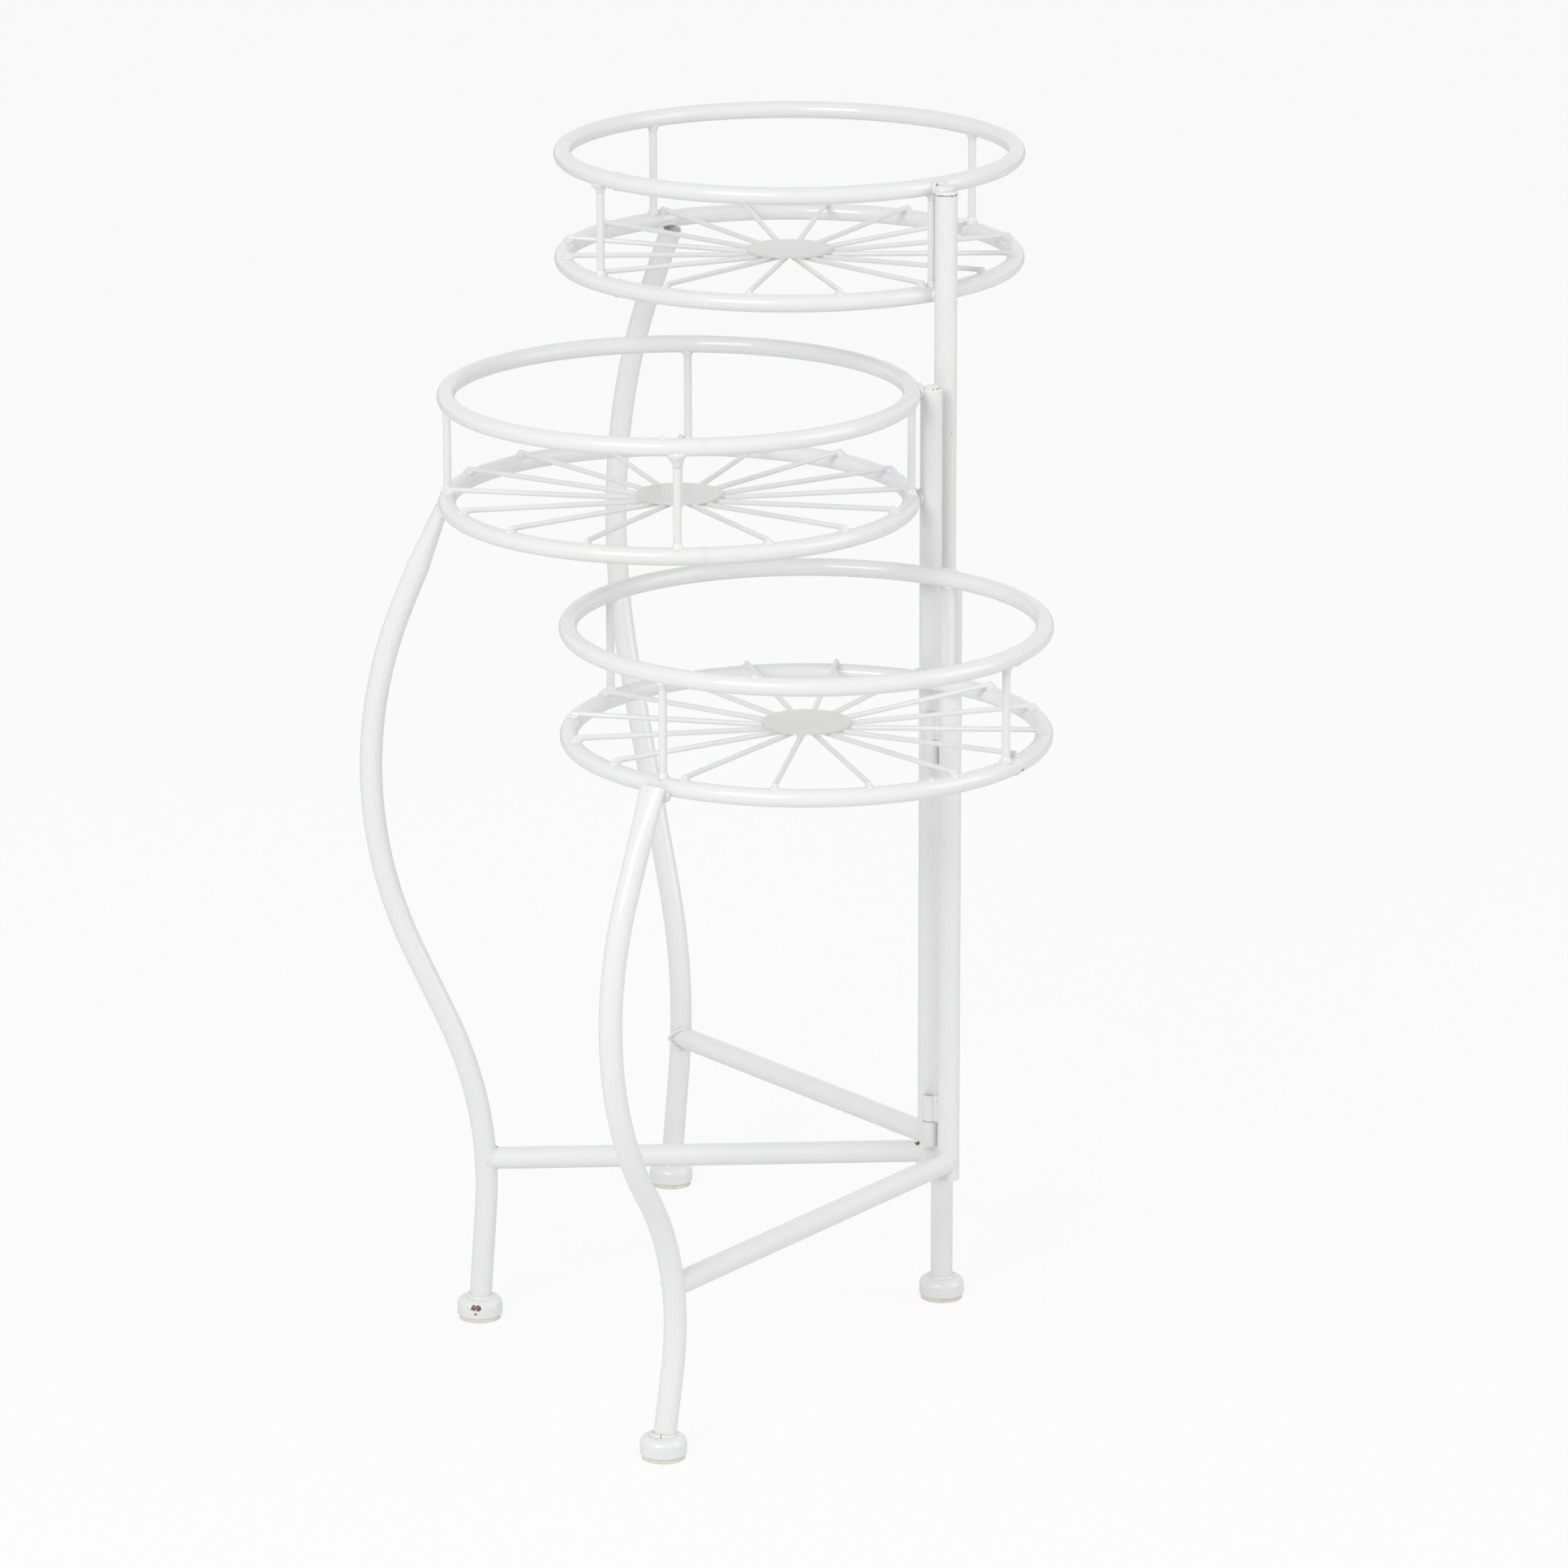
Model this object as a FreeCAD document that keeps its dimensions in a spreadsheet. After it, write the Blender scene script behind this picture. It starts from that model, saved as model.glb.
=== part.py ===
import FreeCAD, Part
import math
import os
import Sketcher
from FreeCAD import Placement, Rotation, Vector

# Folding plant stand with three leaves hinged along their upright posts.
# Each leaf is flat: a post, a two-ring pot basket, an S-shaped leg and a low stretcher.
# Millimetres, +Z up. The origin is on the floor under the tall post, and the middle
# leaf points along -X.

X_AXIS = Vector(1, 0, 0)
Y_AXIS = Vector(0, 1, 0)
Z_AXIS = Vector(0, 0, 1)

# Lengths closer than this count as equal when an edge is looked up by its size.
SAME_LENGTH = 1e-4

# ---------------------------------------------------------------------------
# Driving dimensions
# ---------------------------------------------------------------------------

SHARED_DIMENSIONS = [
    ("post_diameter", 12.7, "outside of posts, legs and stretchers"),
    ("post_wall", 0.9, "wall of the post, leg and stretcher tube"),
    ("ring_diameter", 10.0, "outside of the ring tube"),
    ("ring_wall", 0.8, "wall of the ring tube"),
    ("ring_radius", 130.6, "ring centre line"),
    ("ring_seam", 0.3, "open butt joint of each ring"),
    ("seam_turn", 94.0, "butt joint round the basket, from the leaf"),
    ("basket_depth", 61.2, "upper ring above the lower ring"),
    ("strut_diameter", 4.5, "upright wire"),
    ("spoke_count", 16, "wires of the basket floor"),
    ("spoke_diameter", 3.0, "floor wire"),
    ("spoke_start", 9.0, "inner end of a floor wire from the basket centre"),
    ("spoke_overhang", 1.0, "rounded tip past the crest of the ring"),
    ("disc_diameter", 49.0, "plate in the middle of the basket floor"),
    ("disc_thickness", 1.5, "plate thickness"),
    ("disc_edge", 0.4, "rounded edge of the plate"),
    ("crimp_length", 36.0, "flattened upper end of a crimped leg"),
    ("crimp_width", 16.0, "crimped end, across the leaf"),
    ("crimp_thickness", 7.5, "crimped end, outwards"),
    ("cap_height", 3.2, "dome of the post cap"),
    ("plug_depth", 9.0, "stem of the post cap inside the tube"),
    ("plug_clearance", 0.1, "cap stem to the tube bore, on the radius"),
    ("stretcher_height", 96.8, "stretcher centre line above the floor"),
    ("foot_diameter", 26.0, "foot cup"),
    ("foot_height", 13.0, "top of the foot cup above the floor"),
    ("foot_shoulder", 4.5, "rounded shoulder of the foot cup"),
    ("foot_floor", 3.0, "foot cup under the tube's end"),
    ("pad_diameter", 24.0, "floor pad"),
    ("pad_thickness", 3.0, "floor pad"),
    ("hinge_barrel", 9.5, "outside of a hinge barrel"),
    ("hinge_length", 15.0, "each of the two barrels of a hinge"),
    ("hinge_gap", 0.5, "between the two barrels of a hinge"),
    ("hinge_clearance", 1.3, "barrel to the post beside it"),
    ("pin_diameter", 5.5, "hinge pin"),
    ("pin_clearance", 0.08, "pin to barrel bore, on the radius"),
    ("pin_recess", 1.2, "pin end below the mouth of the upper barrel"),
    ("web_width", 5.0, "weld web between barrel and post"),
    ("middle_angle", 180.0, "direction of the middle leaf seen from above"),
    ("back_fold", 54.5, "angle between the tall and the middle leaf"),
    ("front_fold", 52.1, "angle between the middle and the low leaf"),
    ("back_hinge_high", 430.0, "centre of the upper tall-to-middle hinge"),
    ("back_hinge_low", 150.0, "centre of the lower tall-to-middle hinge"),
    ("front_hinge_high", 347.5, "centre of the upper middle-to-low hinge"),
    ("front_hinge_low", 119.8, "centre of the lower middle-to-low hinge"),
    ("middle_bearing", 90.0, "hinge axes round the middle post, from its leaf"),
    ("tall_bearing", 95.9, "hinge axis round the tall post, from its leaf"),
    ("low_bearing", 87.8, "hinge axis round the low post, from its leaf"),
]

# Sizes that each leaf has for itself.
LEAF_DIMENSIONS = {
    "tall": [
        ("ring_height", 596.0, "lower ring centre line above the floor"),
        ("post_drop", 3.0, "post end below the upper ring's centre line"),
        ("post_bottom", 6.0, "lower end of the post"),
        ("leg_top_past", -8.05, "upper leg end, outside the lower ring's centre line"),
        ("leg_top_rise", -4.0, "upper leg end above the ring's centre line"),
        ("bulge_past", 69.65, "corner of the outward bend, outside the ring's centre line"),
        ("bulge_height", 439.5, "corner of the outward bend"),
        ("bulge_bend", 315.0, "radius of the outward bend"),
        ("knee_past", -26.35, "corner of the inward bend, outside the ring's centre line"),
        ("knee_height", 133.4, "corner of the inward bend"),
        ("knee_bend", 273.0, "radius of the inward bend"),
        ("foot_past", -12.55, "foot, outside the ring's centre line"),
        ("leg_turn", 0.0, "leg and stretcher round the post, from the leaf"),
        ("leg_lean", 0.8, "sideways lean of the leg from its foot"),
        ("strut_one_turn", -0.4, "strut over the leg, round the basket from the leaf"),
        ("strut_two_turn", 86.8, "second strut, round the basket from the leaf"),
        ("strut_three_turn", 179.5, "strut beside the post, round the basket from the leaf"),
        ("strut_four_turn", 266.8, "fourth strut, round the basket from the leaf"),
        ("spoke_turn", -3.2, "floor wires round the basket, from the leaf"),
        ("floor_sag", 5.5, "floor wires below the ring's crest at the basket centre"),
    ],
    "middle": [
        ("ring_height", 485.1, "lower ring centre line above the floor"),
        ("post_drop", -0.6, "post end below the upper ring's centre line"),
        ("post_bottom", 86.5, "lower end of the post"),
        ("leg_top_past", 2.8, "upper leg end, outside the lower ring's centre line"),
        ("leg_top_rise", -2.2, "upper leg end above the ring's centre line"),
        ("bulge_past", 67.95, "corner of the outward bend, outside the ring's centre line"),
        ("bulge_height", 324.3, "corner of the outward bend"),
        ("bulge_bend", 257.0, "radius of the outward bend"),
        ("knee_past", -20.85, "corner of the inward bend, outside the ring's centre line"),
        ("knee_height", 126.9, "corner of the inward bend"),
        ("knee_bend", 237.0, "radius of the inward bend"),
        ("foot_past", -12.4, "foot, outside the ring's centre line"),
        ("leg_turn", 0.0, "leg and stretcher round the post, from the leaf"),
        ("leg_lean", 0.0, "sideways lean of the leg from its foot"),
        ("strut_one_turn", -5.0, "strut over the leg, round the basket from the leaf"),
        ("strut_two_turn", 87.6, "second strut, round the basket from the leaf"),
        ("strut_three_turn", 175.0, "strut beside the post, round the basket from the leaf"),
        ("strut_four_turn", 265.8, "fourth strut, round the basket from the leaf"),
        ("spoke_turn", -2.4, "floor wires round the basket, from the leaf"),
        ("floor_sag", 6.2, "floor wires below the ring's crest at the basket centre"),
    ],
    "low": [
        ("ring_height", 384.5, "lower ring centre line above the floor"),
        ("post_drop", 1.0, "post end below the upper ring's centre line"),
        ("post_bottom", 86.5, "lower end of the post"),
        ("leg_top_past", 8.5, "upper leg end, outside the lower ring's centre line"),
        ("leg_top_rise", 1.0, "upper leg end above the ring's centre line"),
        ("bulge_past", 70.65, "corner of the outward bend, outside the ring's centre line"),
        ("bulge_height", 237.4, "corner of the outward bend"),
        ("bulge_bend", 182.0, "radius of the outward bend"),
        ("knee_past", -19.75, "corner of the inward bend, outside the ring's centre line"),
        ("knee_height", 105.6, "corner of the inward bend"),
        ("knee_bend", 140.0, "radius of the inward bend"),
        ("foot_past", -0.35, "foot, outside the ring's centre line"),
        ("leg_turn", -1.1, "leg and stretcher round the post, from the leaf"),
        ("leg_lean", -0.4, "sideways lean of the leg from its foot"),
        ("strut_one_turn", -1.0, "strut over the leg, round the basket from the leaf"),
        ("strut_two_turn", 90.5, "second strut, round the basket from the leaf"),
        ("strut_three_turn", 176.5, "strut beside the post, round the basket from the leaf"),
        ("strut_four_turn", 271.8, "fourth strut, round the basket from the leaf"),
        ("spoke_turn", 5.0, "floor wires round the basket, from the leaf"),
        ("floor_sag", 3.0, "floor wires below the ring's crest at the basket centre"),
    ],
}

LEAVES = ["tall", "middle", "low"]

# Legs whose upper end is pressed flat against the ring; the tall leaf's leg ends open under it.
CRIMPED = ["middle", "low"]

# The four upright wires of a basket, counted round it from the leg.
STRUTS = ["one", "two", "three", "four"]

# Sizes that follow from the driving ones, as expressions of the same sheet.
DERIVED = {
    "post_radius": "post_diameter / 2",
    "post_bore": "post_diameter - 2 * post_wall",
    "ring_tube_radius": "ring_diameter / 2",
    "ring_bore_radius": "ring_diameter / 2 - ring_wall",
    "basket_out": "post_diameter / 2 + ring_diameter / 2 + ring_radius",
    "ring_reach": "post_diameter / 2 + ring_diameter / 2 + 2 * ring_radius",
    "hinge_offset": "post_diameter / 2 + hinge_barrel / 2 + hinge_clearance",
    "barrel_bore": "pin_diameter + 2 * pin_clearance",
    "tube_seat": "pad_thickness + foot_floor",
}

doc = FreeCAD.newDocument("folding_plant_stand")
sheet = doc.addObject("Spreadsheet::Sheet", "Dimensions")
parts = []


def fill_sheet():
    """One row per size: its name, its value and what it measures."""
    rows = list(SHARED_DIMENSIONS)
    for leaf in LEAVES:
        for name, value, note in LEAF_DIMENSIONS[leaf]:
            rows.append((leaf + "_" + name, value, note))
    rows += [(name, "=" + formula, "follows from the sizes above")
             for name, formula in DERIVED.items()]
    for row, (name, value, note) in enumerate(rows, start=1):
        sheet.set("A%d" % row, name)
        sheet.set("B%d" % row, str(value))
        sheet.setAlias("B%d" % row, name)
        sheet.set("C%d" % row, note)
    doc.recompute()


def size(name):
    """The value of one named size."""
    return float(sheet.get(name))


def bind(obj, **expressions):
    """Tie properties of an object to formulas of named sizes."""
    for prop, formula in expressions.items():
        obj.setExpression(prop, with_sheet(formula))


def with_sheet(formula):
    """Write a formula of plain size names as a formula of the sheet's cells."""
    words = formula.split(" ")
    known = set(sheet_names())
    return " ".join("Dimensions." + word if word in known else word for word in words)


def sheet_names():
    """All size names in the sheet."""
    names = [name for name, value, note in SHARED_DIMENSIONS] + list(DERIVED)
    for leaf in LEAVES:
        names += [leaf + "_" + name for name, value, note in LEAF_DIMENSIONS[leaf]]
    return names


def keep(obj, label, place):
    """Name a finished sub-part and put it in its place."""
    obj.Label = label
    obj.Placement = place
    parts.append(obj)
    return obj


# ---------------------------------------------------------------------------
# Where the leaves and hinges stand
# ---------------------------------------------------------------------------

def polar(radius, degrees):
    """A point on the floor at a distance and direction from the origin."""
    angle = math.radians(degrees)
    return Vector(radius * math.cos(angle), radius * math.sin(angle), 0)


def lay_out():
    """Directions and post positions of the leaves, and the two hinge axes."""
    offset = size("hinge_offset")
    angle = {
        "middle": size("middle_angle"),
        "tall": size("middle_angle") - size("back_fold"),
        "low": size("middle_angle") + size("front_fold"),
    }
    post = {"tall": Vector(0, 0, 0)}
    back_axis = post["tall"] + polar(offset, angle["tall"] + size("tall_bearing"))
    post["middle"] = back_axis - polar(offset, angle["middle"] - size("middle_bearing"))
    front_axis = post["middle"] + polar(offset, angle["middle"] + size("middle_bearing"))
    post["low"] = front_axis - polar(offset, angle["low"] - size("low_bearing"))
    frames = {leaf: Placement(post[leaf], Rotation(Z_AXIS, angle[leaf])) for leaf in LEAVES}
    return frames, {"back": back_axis, "front": front_axis}


def in_leaf(frame, x, z, turn=0.0):
    """A place in a leaf: out from the post axis, above the floor, turned about the vertical."""
    return frame.multiply(Placement(Vector(x, 0, z), Rotation(Z_AXIS, turn)))


# ---------------------------------------------------------------------------
# Sketch helpers
# ---------------------------------------------------------------------------

def new_body(name):
    """An empty body for one sub-part."""
    return doc.addObject("PartDesign::Body", name)


def new_sketch(body, name, role):
    """A sketch on one of the body's own origin planes."""
    sketch = body.newObject("Sketcher::SketchObject", name)
    plane = next(item for item in body.Origin.OriginFeatures if item.Role == role)
    sketch.AttachmentSupport = [(plane, "")]
    sketch.MapMode = "FlatFace"
    return sketch


def origin_line(body, role):
    """One of the body's own axes."""
    return next(item for item in body.Origin.OriginFeatures if item.Role == role)


def hold(sketch, constraint, label, formula):
    """Add a dimension to a sketch and tie it to the sheet."""
    index = sketch.addConstraint(constraint)
    sketch.renameConstraint(index, label)
    sketch.setExpression("Constraints." + label, with_sheet(formula))


def add_circle(sketch, label, formula, value):
    """A circle round the sketch origin with a named diameter."""
    index = sketch.addGeometry(Part.Circle(Vector(0, 0, 0), Z_AXIS, value / 2))
    sketch.addConstraint(Sketcher.Constraint("Coincident", index, 3, -1, 1))
    hold(sketch, Sketcher.Constraint("Diameter", index, value), label, formula)
    return index


def add_outline(sketch, corners):
    """A closed outline of straight lines through corners, each corner tied to the sheet.

    A corner is (x formula, y formula); the sketch origin's axes carry the zero ones.
    """
    points = [Vector(value_of(x), value_of(y), 0) for x, y in corners]
    lines = []
    for here, there in zip(points, points[1:] + points[:1]):
        lines.append(sketch.addGeometry(Part.LineSegment(here, there)))
    for here, there in zip(lines, lines[1:] + lines[:1]):
        sketch.addConstraint(Sketcher.Constraint("Coincident", here, 2, there, 1))
    for number, (line, (x, y)) in enumerate(zip(lines, corners)):
        pin_point(sketch, line, 1, number, x, y)
    return lines


def pin_point(sketch, element, end, number, x, y):
    """Fix one point of a sketch at (x, y), each a formula of sizes."""
    if x == "0":
        sketch.addConstraint(Sketcher.Constraint("PointOnObject", element, end, -2))
    else:
        rule = Sketcher.Constraint("DistanceX", -1, 1, element, end, value_of(x))
        hold(sketch, rule, "across_%d" % number, x)
    if y == "0":
        sketch.addConstraint(Sketcher.Constraint("PointOnObject", element, end, -1))
    else:
        rule = Sketcher.Constraint("DistanceY", -1, 1, element, end, value_of(y))
        hold(sketch, rule, "up_%d" % number, y)


def value_of(formula):
    """The value of a formula of size names, worked out by the sheet itself."""
    return float(sheet.evalExpression(with_sheet(formula)))


def pad(body, name, sketch, formula):
    """Raise a sketch by a length."""
    feature = body.newObject("PartDesign::Pad", name)
    feature.Profile = sketch
    bind(feature, Length=formula)
    body.Tip = feature
    return feature


def revolve(body, name, sketch):
    """Turn a sketch on the XZ plane once round the vertical axis."""
    feature = body.newObject("PartDesign::Revolution", name)
    feature.Profile = sketch
    feature.ReferenceAxis = (sketch, ["V_Axis"])
    feature.Angle = 360
    body.Tip = feature
    return feature


def round_edges(body, name, base, edges, formula):
    """Fillet some edges of the last feature."""
    doc.recompute()
    feature = body.newObject("PartDesign::Fillet", name)
    feature.Base = (base, edges)
    bind(feature, Radius=formula)
    body.Tip = feature
    return feature


def circles_at(shape, height, radius):
    """Names of the circular edges that lie at a height with a radius."""
    found = []
    for index, edge in enumerate(shape.Edges, start=1):
        curve = edge.Curve
        if curve.TypeId != "Part::GeomCircle":
            continue
        same_radius = abs(curve.Radius - radius) < SAME_LENGTH
        if same_radius and abs(curve.Center.z - height) < SAME_LENGTH:
            found.append("Edge%d" % index)
    return found


# ---------------------------------------------------------------------------
# Primitive helpers
# ---------------------------------------------------------------------------

def torus(name, tube_formula, place):
    """A full ring of round section in a leaf."""
    ring = doc.addObject("Part::Torus", name)
    bind(ring, Radius1="ring_radius", Radius2=tube_formula)
    ring.Placement = place
    return ring


def cylinder(name, radius_formula, length, place):
    """A round rod along its own Z axis."""
    rod = doc.addObject("Part::Cylinder", name)
    bind(rod, Radius=radius_formula)
    rod.Height = length
    rod.Placement = place
    return rod


def cut(name, base, tool):
    """One shape with another taken away."""
    result = doc.addObject("Part::Cut", name)
    result.Base = base
    result.Tool = tool
    return result


# ---------------------------------------------------------------------------
# Posts
# ---------------------------------------------------------------------------

def make_post(leaf, frame):
    """The upright tube, from its lower end to just below the upper ring's centre line."""
    body = new_body(leaf + "_post_tube")
    sketch = new_sketch(body, leaf + "_post_section", "XY_Plane")
    add_circle(sketch, "outside", "post_diameter", size("post_diameter"))
    add_circle(sketch, "bore", "post_bore", size("post_bore"))
    pad(body, leaf + "_post_length", sketch, post_top(leaf) + " - " + leaf + "_post_bottom")
    keep(body, leaf + "_post", in_leaf(frame, 0, size(leaf + "_post_bottom")))


def post_top(leaf):
    """Formula of the post end's height."""
    return leaf + "_ring_height + basket_depth - " + leaf + "_post_drop"


def make_post_cap(leaf, frame):
    """A domed plug on the post end, its stem inside the tube."""
    body = new_body(leaf + "_cap_plug")
    sketch = new_sketch(body, leaf + "_cap_outline", "XZ_Plane")
    rim = size("post_radius")
    rise = size("cap_height")
    stem = value_of("post_bore / 2 - plug_clearance")
    depth = size("plug_depth")
    # The dome is an arc that meets the rim and crosses the axis level.
    dome = (rim ** 2 + rise ** 2) / (2 * rise)
    half = math.asin(rim / dome)
    arc = Part.ArcOfCircle(Part.Circle(Vector(0, rise - dome, 0), Z_AXIS, dome),
                           math.pi / 2 - half, math.pi / 2)
    crown = sketch.addGeometry(arc)
    corners = [Vector(0, rise, 0), Vector(0, -depth, 0), Vector(stem, -depth, 0),
               Vector(stem, 0, 0), Vector(rim, 0, 0)]
    lines = [sketch.addGeometry(Part.LineSegment(a, b)) for a, b in zip(corners, corners[1:])]
    sketch.addConstraint(Sketcher.Constraint("Coincident", crown, 2, lines[0], 1))
    for here, there in zip(lines, lines[1:]):
        sketch.addConstraint(Sketcher.Constraint("Coincident", here, 2, there, 1))
    sketch.addConstraint(Sketcher.Constraint("Coincident", lines[3], 2, crown, 1))
    sketch.addConstraint(Sketcher.Constraint("PointOnObject", crown, 3, -2))
    pin_point(sketch, lines[0], 1, 0, "0", "cap_height")
    pin_point(sketch, lines[1], 1, 1, "0", "-1 * plug_depth")
    pin_point(sketch, lines[2], 1, 2, "post_bore / 2 - plug_clearance", "-1 * plug_depth")
    pin_point(sketch, lines[3], 1, 3, "post_bore / 2 - plug_clearance", "0")
    pin_point(sketch, lines[3], 2, 4, "post_radius", "0")
    revolve(body, leaf + "_cap_turned", sketch)
    keep(body, leaf + "_post_cap", in_leaf(frame, 0, value_of(post_top(leaf))))


# ---------------------------------------------------------------------------
# Baskets
# ---------------------------------------------------------------------------

def make_ring(leaf, frame, level, height, seam_turn):
    """One tube ring with its butt joint, hollow."""
    name = leaf + "_" + level + "_ring"
    outer = torus(name + "_tube", "ring_tube_radius", Placement())
    seam_angle = math.degrees(size("ring_seam") / size("ring_radius"))
    outer.Angle3 = 360 - seam_angle
    bore = torus(name + "_bore", "ring_bore_radius", Placement())
    ring = cut(name + "_hollow", outer, bore)
    keep(ring, name, in_leaf(frame, size("basket_out"), height, seam_turn))


def make_struts(leaf, frame):
    """Upright wires standing on the lower ring, under the upper ring."""
    body = new_body(leaf + "_strut_wires")
    section = new_sketch(body, leaf + "_strut_section", "XY_Plane")
    radius = size("strut_diameter") / 2
    for number, strut in enumerate(STRUTS):
        turn = "%s_strut_%s_turn" % (leaf, strut)
        across = "ring_radius * cos( " + turn + " )"
        along = "ring_radius * sin( " + turn + " )"
        centre = Vector(value_of(across), value_of(along), 0)
        wire = section.addGeometry(Part.Circle(centre, Z_AXIS, radius))
        pin_point(section, wire, 3, number, across, along)
        hold(section, Sketcher.Constraint("Diameter", wire, 2 * radius),
             "wire_" + strut, "strut_diameter")
    pad(body, leaf + "_strut_length", section, "basket_depth - ring_diameter")
    height = size(leaf + "_ring_height") + size("ring_tube_radius")
    keep(body, leaf + "_struts", in_leaf(frame, size("basket_out"), height))


def floor_rise(leaf, radius):
    """A floor wire's centre line above the lower ring's, at a distance from the basket centre.

    The wires slope down to the centre and touch the crest of the ring.
    """
    slope = size(leaf + "_floor_sag") / size("ring_radius")
    seat = (size("ring_tube_radius") + size("spoke_diameter") / 2) * math.hypot(1, slope)
    return seat - slope * (size("ring_radius") - radius)


def make_spokes(leaf, frame):
    """Floor wires with rounded tips, sloping up from the centre to the lower ring's crest.

    A wire that meets a strut ends against it.
    """
    body = new_body(leaf + "_spoke_wires")
    sketch = new_sketch(body, leaf + "_spoke_outline", "XZ_Plane")
    slope = "atan( " + leaf + "_floor_sag / ring_radius )"
    sketch.setExpression("AttachmentOffset.Rotation.Angle", with_sheet(slope))
    radius = size("spoke_diameter") / 2
    start = size("spoke_start")
    tip = value_of("ring_radius + spoke_overhang - spoke_diameter / 2")
    lines = [
        sketch.addGeometry(Part.LineSegment(Vector(tip + radius, 0, 0), Vector(start, 0, 0))),
        sketch.addGeometry(Part.LineSegment(Vector(start, 0, 0), Vector(start, radius, 0))),
        sketch.addGeometry(Part.LineSegment(Vector(start, radius, 0), Vector(tip, radius, 0))),
    ]
    nose = sketch.addGeometry(Part.ArcOfCircle(
        Part.Circle(Vector(tip, 0, 0), Z_AXIS, radius), 0, math.pi / 2))
    sketch.addConstraint(Sketcher.Constraint("Coincident", lines[0], 2, lines[1], 1))
    sketch.addConstraint(Sketcher.Constraint("Coincident", lines[1], 2, lines[2], 1))
    sketch.addConstraint(Sketcher.Constraint("Tangent", lines[2], 2, nose, 2))
    sketch.addConstraint(Sketcher.Constraint("Coincident", nose, 1, lines[0], 1))
    sketch.addConstraint(Sketcher.Constraint("PointOnObject", nose, 3, -1))
    pin_point(sketch, lines[1], 1, 0, "spoke_start", "0")
    pin_point(sketch, lines[2], 1, 1, "spoke_start", "spoke_diameter / 2")
    pin_point(sketch, lines[0], 1, 2, "ring_radius + spoke_overhang", "0")
    wire = body.newObject("PartDesign::Revolution", leaf + "_spoke_wire")
    wire.Profile = sketch
    wire.ReferenceAxis = (sketch, ["H_Axis"])
    wire.Angle = 360
    body.Tip = wire
    copy_round(body, leaf + "_spoke_pattern", wire, "spoke_count")
    height = size(leaf + "_ring_height") + floor_rise(leaf, 0)
    turn = Rotation(Z_AXIS, size(leaf + "_spoke_turn"))
    body.Placement = Placement(Vector(size("basket_out"), 0, height), turn)
    keep(cut(leaf + "_spokes_trimmed", body, strut_space(leaf)), leaf + "_spokes", frame)


def strut_space(leaf):
    """Where the struts stand in their leaf; a floor wire that comes there stops short."""
    centre = Vector(size("basket_out"), 0, size(leaf + "_ring_height"))
    half = size("strut_diameter") / 2
    corner = Placement(Vector(size("ring_radius") - half, -half, 0), Rotation())
    rooms = []
    for strut in STRUTS:
        name = "%s_strut_%s" % (leaf, strut)
        room = doc.addObject("Part::Box", name + "_room")
        bind(room, Length="strut_diameter + spoke_overhang", Width="strut_diameter",
             Height="basket_depth")
        turn = Rotation(Z_AXIS, size(name + "_turn"))
        room.Placement = Placement(centre, turn).multiply(corner)
        rooms.append(room)
    space = doc.addObject("Part::MultiFuse", leaf + "_strut_rooms")
    space.Shapes = rooms
    return space


def copy_round(body, name, feature, count_formula):
    """Repeat a feature evenly round the body's vertical axis."""
    pattern = body.newObject("PartDesign::PolarPattern", name)
    pattern.Originals = [feature]
    pattern.Axis = (origin_line(body, "Z_Axis"), [""])
    pattern.Angle = 360
    bind(pattern, Occurrences=count_formula)
    body.Tip = pattern
    return pattern


def make_disc(leaf, frame):
    """The plate on top of the floor wires, its edge on their crests."""
    body = new_body(leaf + "_floor_plate")
    sketch = new_sketch(body, leaf + "_plate_section", "XY_Plane")
    add_circle(sketch, "plate", "disc_diameter", size("disc_diameter"))
    plate = pad(body, leaf + "_plate_thickness", sketch, "disc_thickness")
    doc.recompute()
    edges = circles_at(plate.Shape, size("disc_thickness"), size("disc_diameter") / 2)
    round_edges(body, leaf + "_plate_edge", plate, edges, "disc_edge")
    slope = size(leaf + "_floor_sag") / size("ring_radius")
    crest = size("spoke_diameter") / 2 * math.hypot(1, slope)
    height = size(leaf + "_ring_height") + floor_rise(leaf, size("disc_diameter") / 2) + crest
    keep(body, leaf + "_disc", in_leaf(frame, size("basket_out"), height))


# ---------------------------------------------------------------------------
# Legs and stretchers
# ---------------------------------------------------------------------------

def bend_points(before, corner, after, radius):
    """Where an arc of the given radius leaves the two lines that meet at a corner."""
    back = (before - corner).normalize()
    ahead = (after - corner).normalize()
    half = back.getAngle(ahead) / 2
    reach = radius / math.tan(half)
    centre = corner + (back + ahead).normalize() * (radius / math.sin(half))
    return corner + back * reach, corner + ahead * reach, centre


def arc_between(centre, start, end):
    """The shorter arc round a centre between two points, and which of its ends is the start."""
    circle = Part.Circle(centre, Z_AXIS, start.distanceToPoint(centre))
    first = math.atan2(start.y - centre.y, start.x - centre.x)
    last = math.atan2(end.y - centre.y, end.x - centre.x)
    turn = (last - first) % (2 * math.pi)
    if turn < math.pi:
        return Part.ArcOfCircle(circle, first, first + turn), 1, 2
    return Part.ArcOfCircle(circle, last, last + 2 * math.pi - turn), 2, 1


def stance(leaf):
    """How the leg, stretcher and foot of a leaf are turned about its post."""
    return Placement(Vector(0, 0, 0), Rotation(Z_AXIS, size(leaf + "_leg_turn")))


def leg_plane(leaf):
    """The plane of a leg in its leaf, leaning sideways from the tube's end in the foot."""
    lean = Rotation(X_AXIS, size(leaf + "_leg_lean"))
    return stance(leaf).multiply(Placement(Vector(0, 0, 0), lean, Vector(0, 0, size("tube_seat"))))


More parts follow.
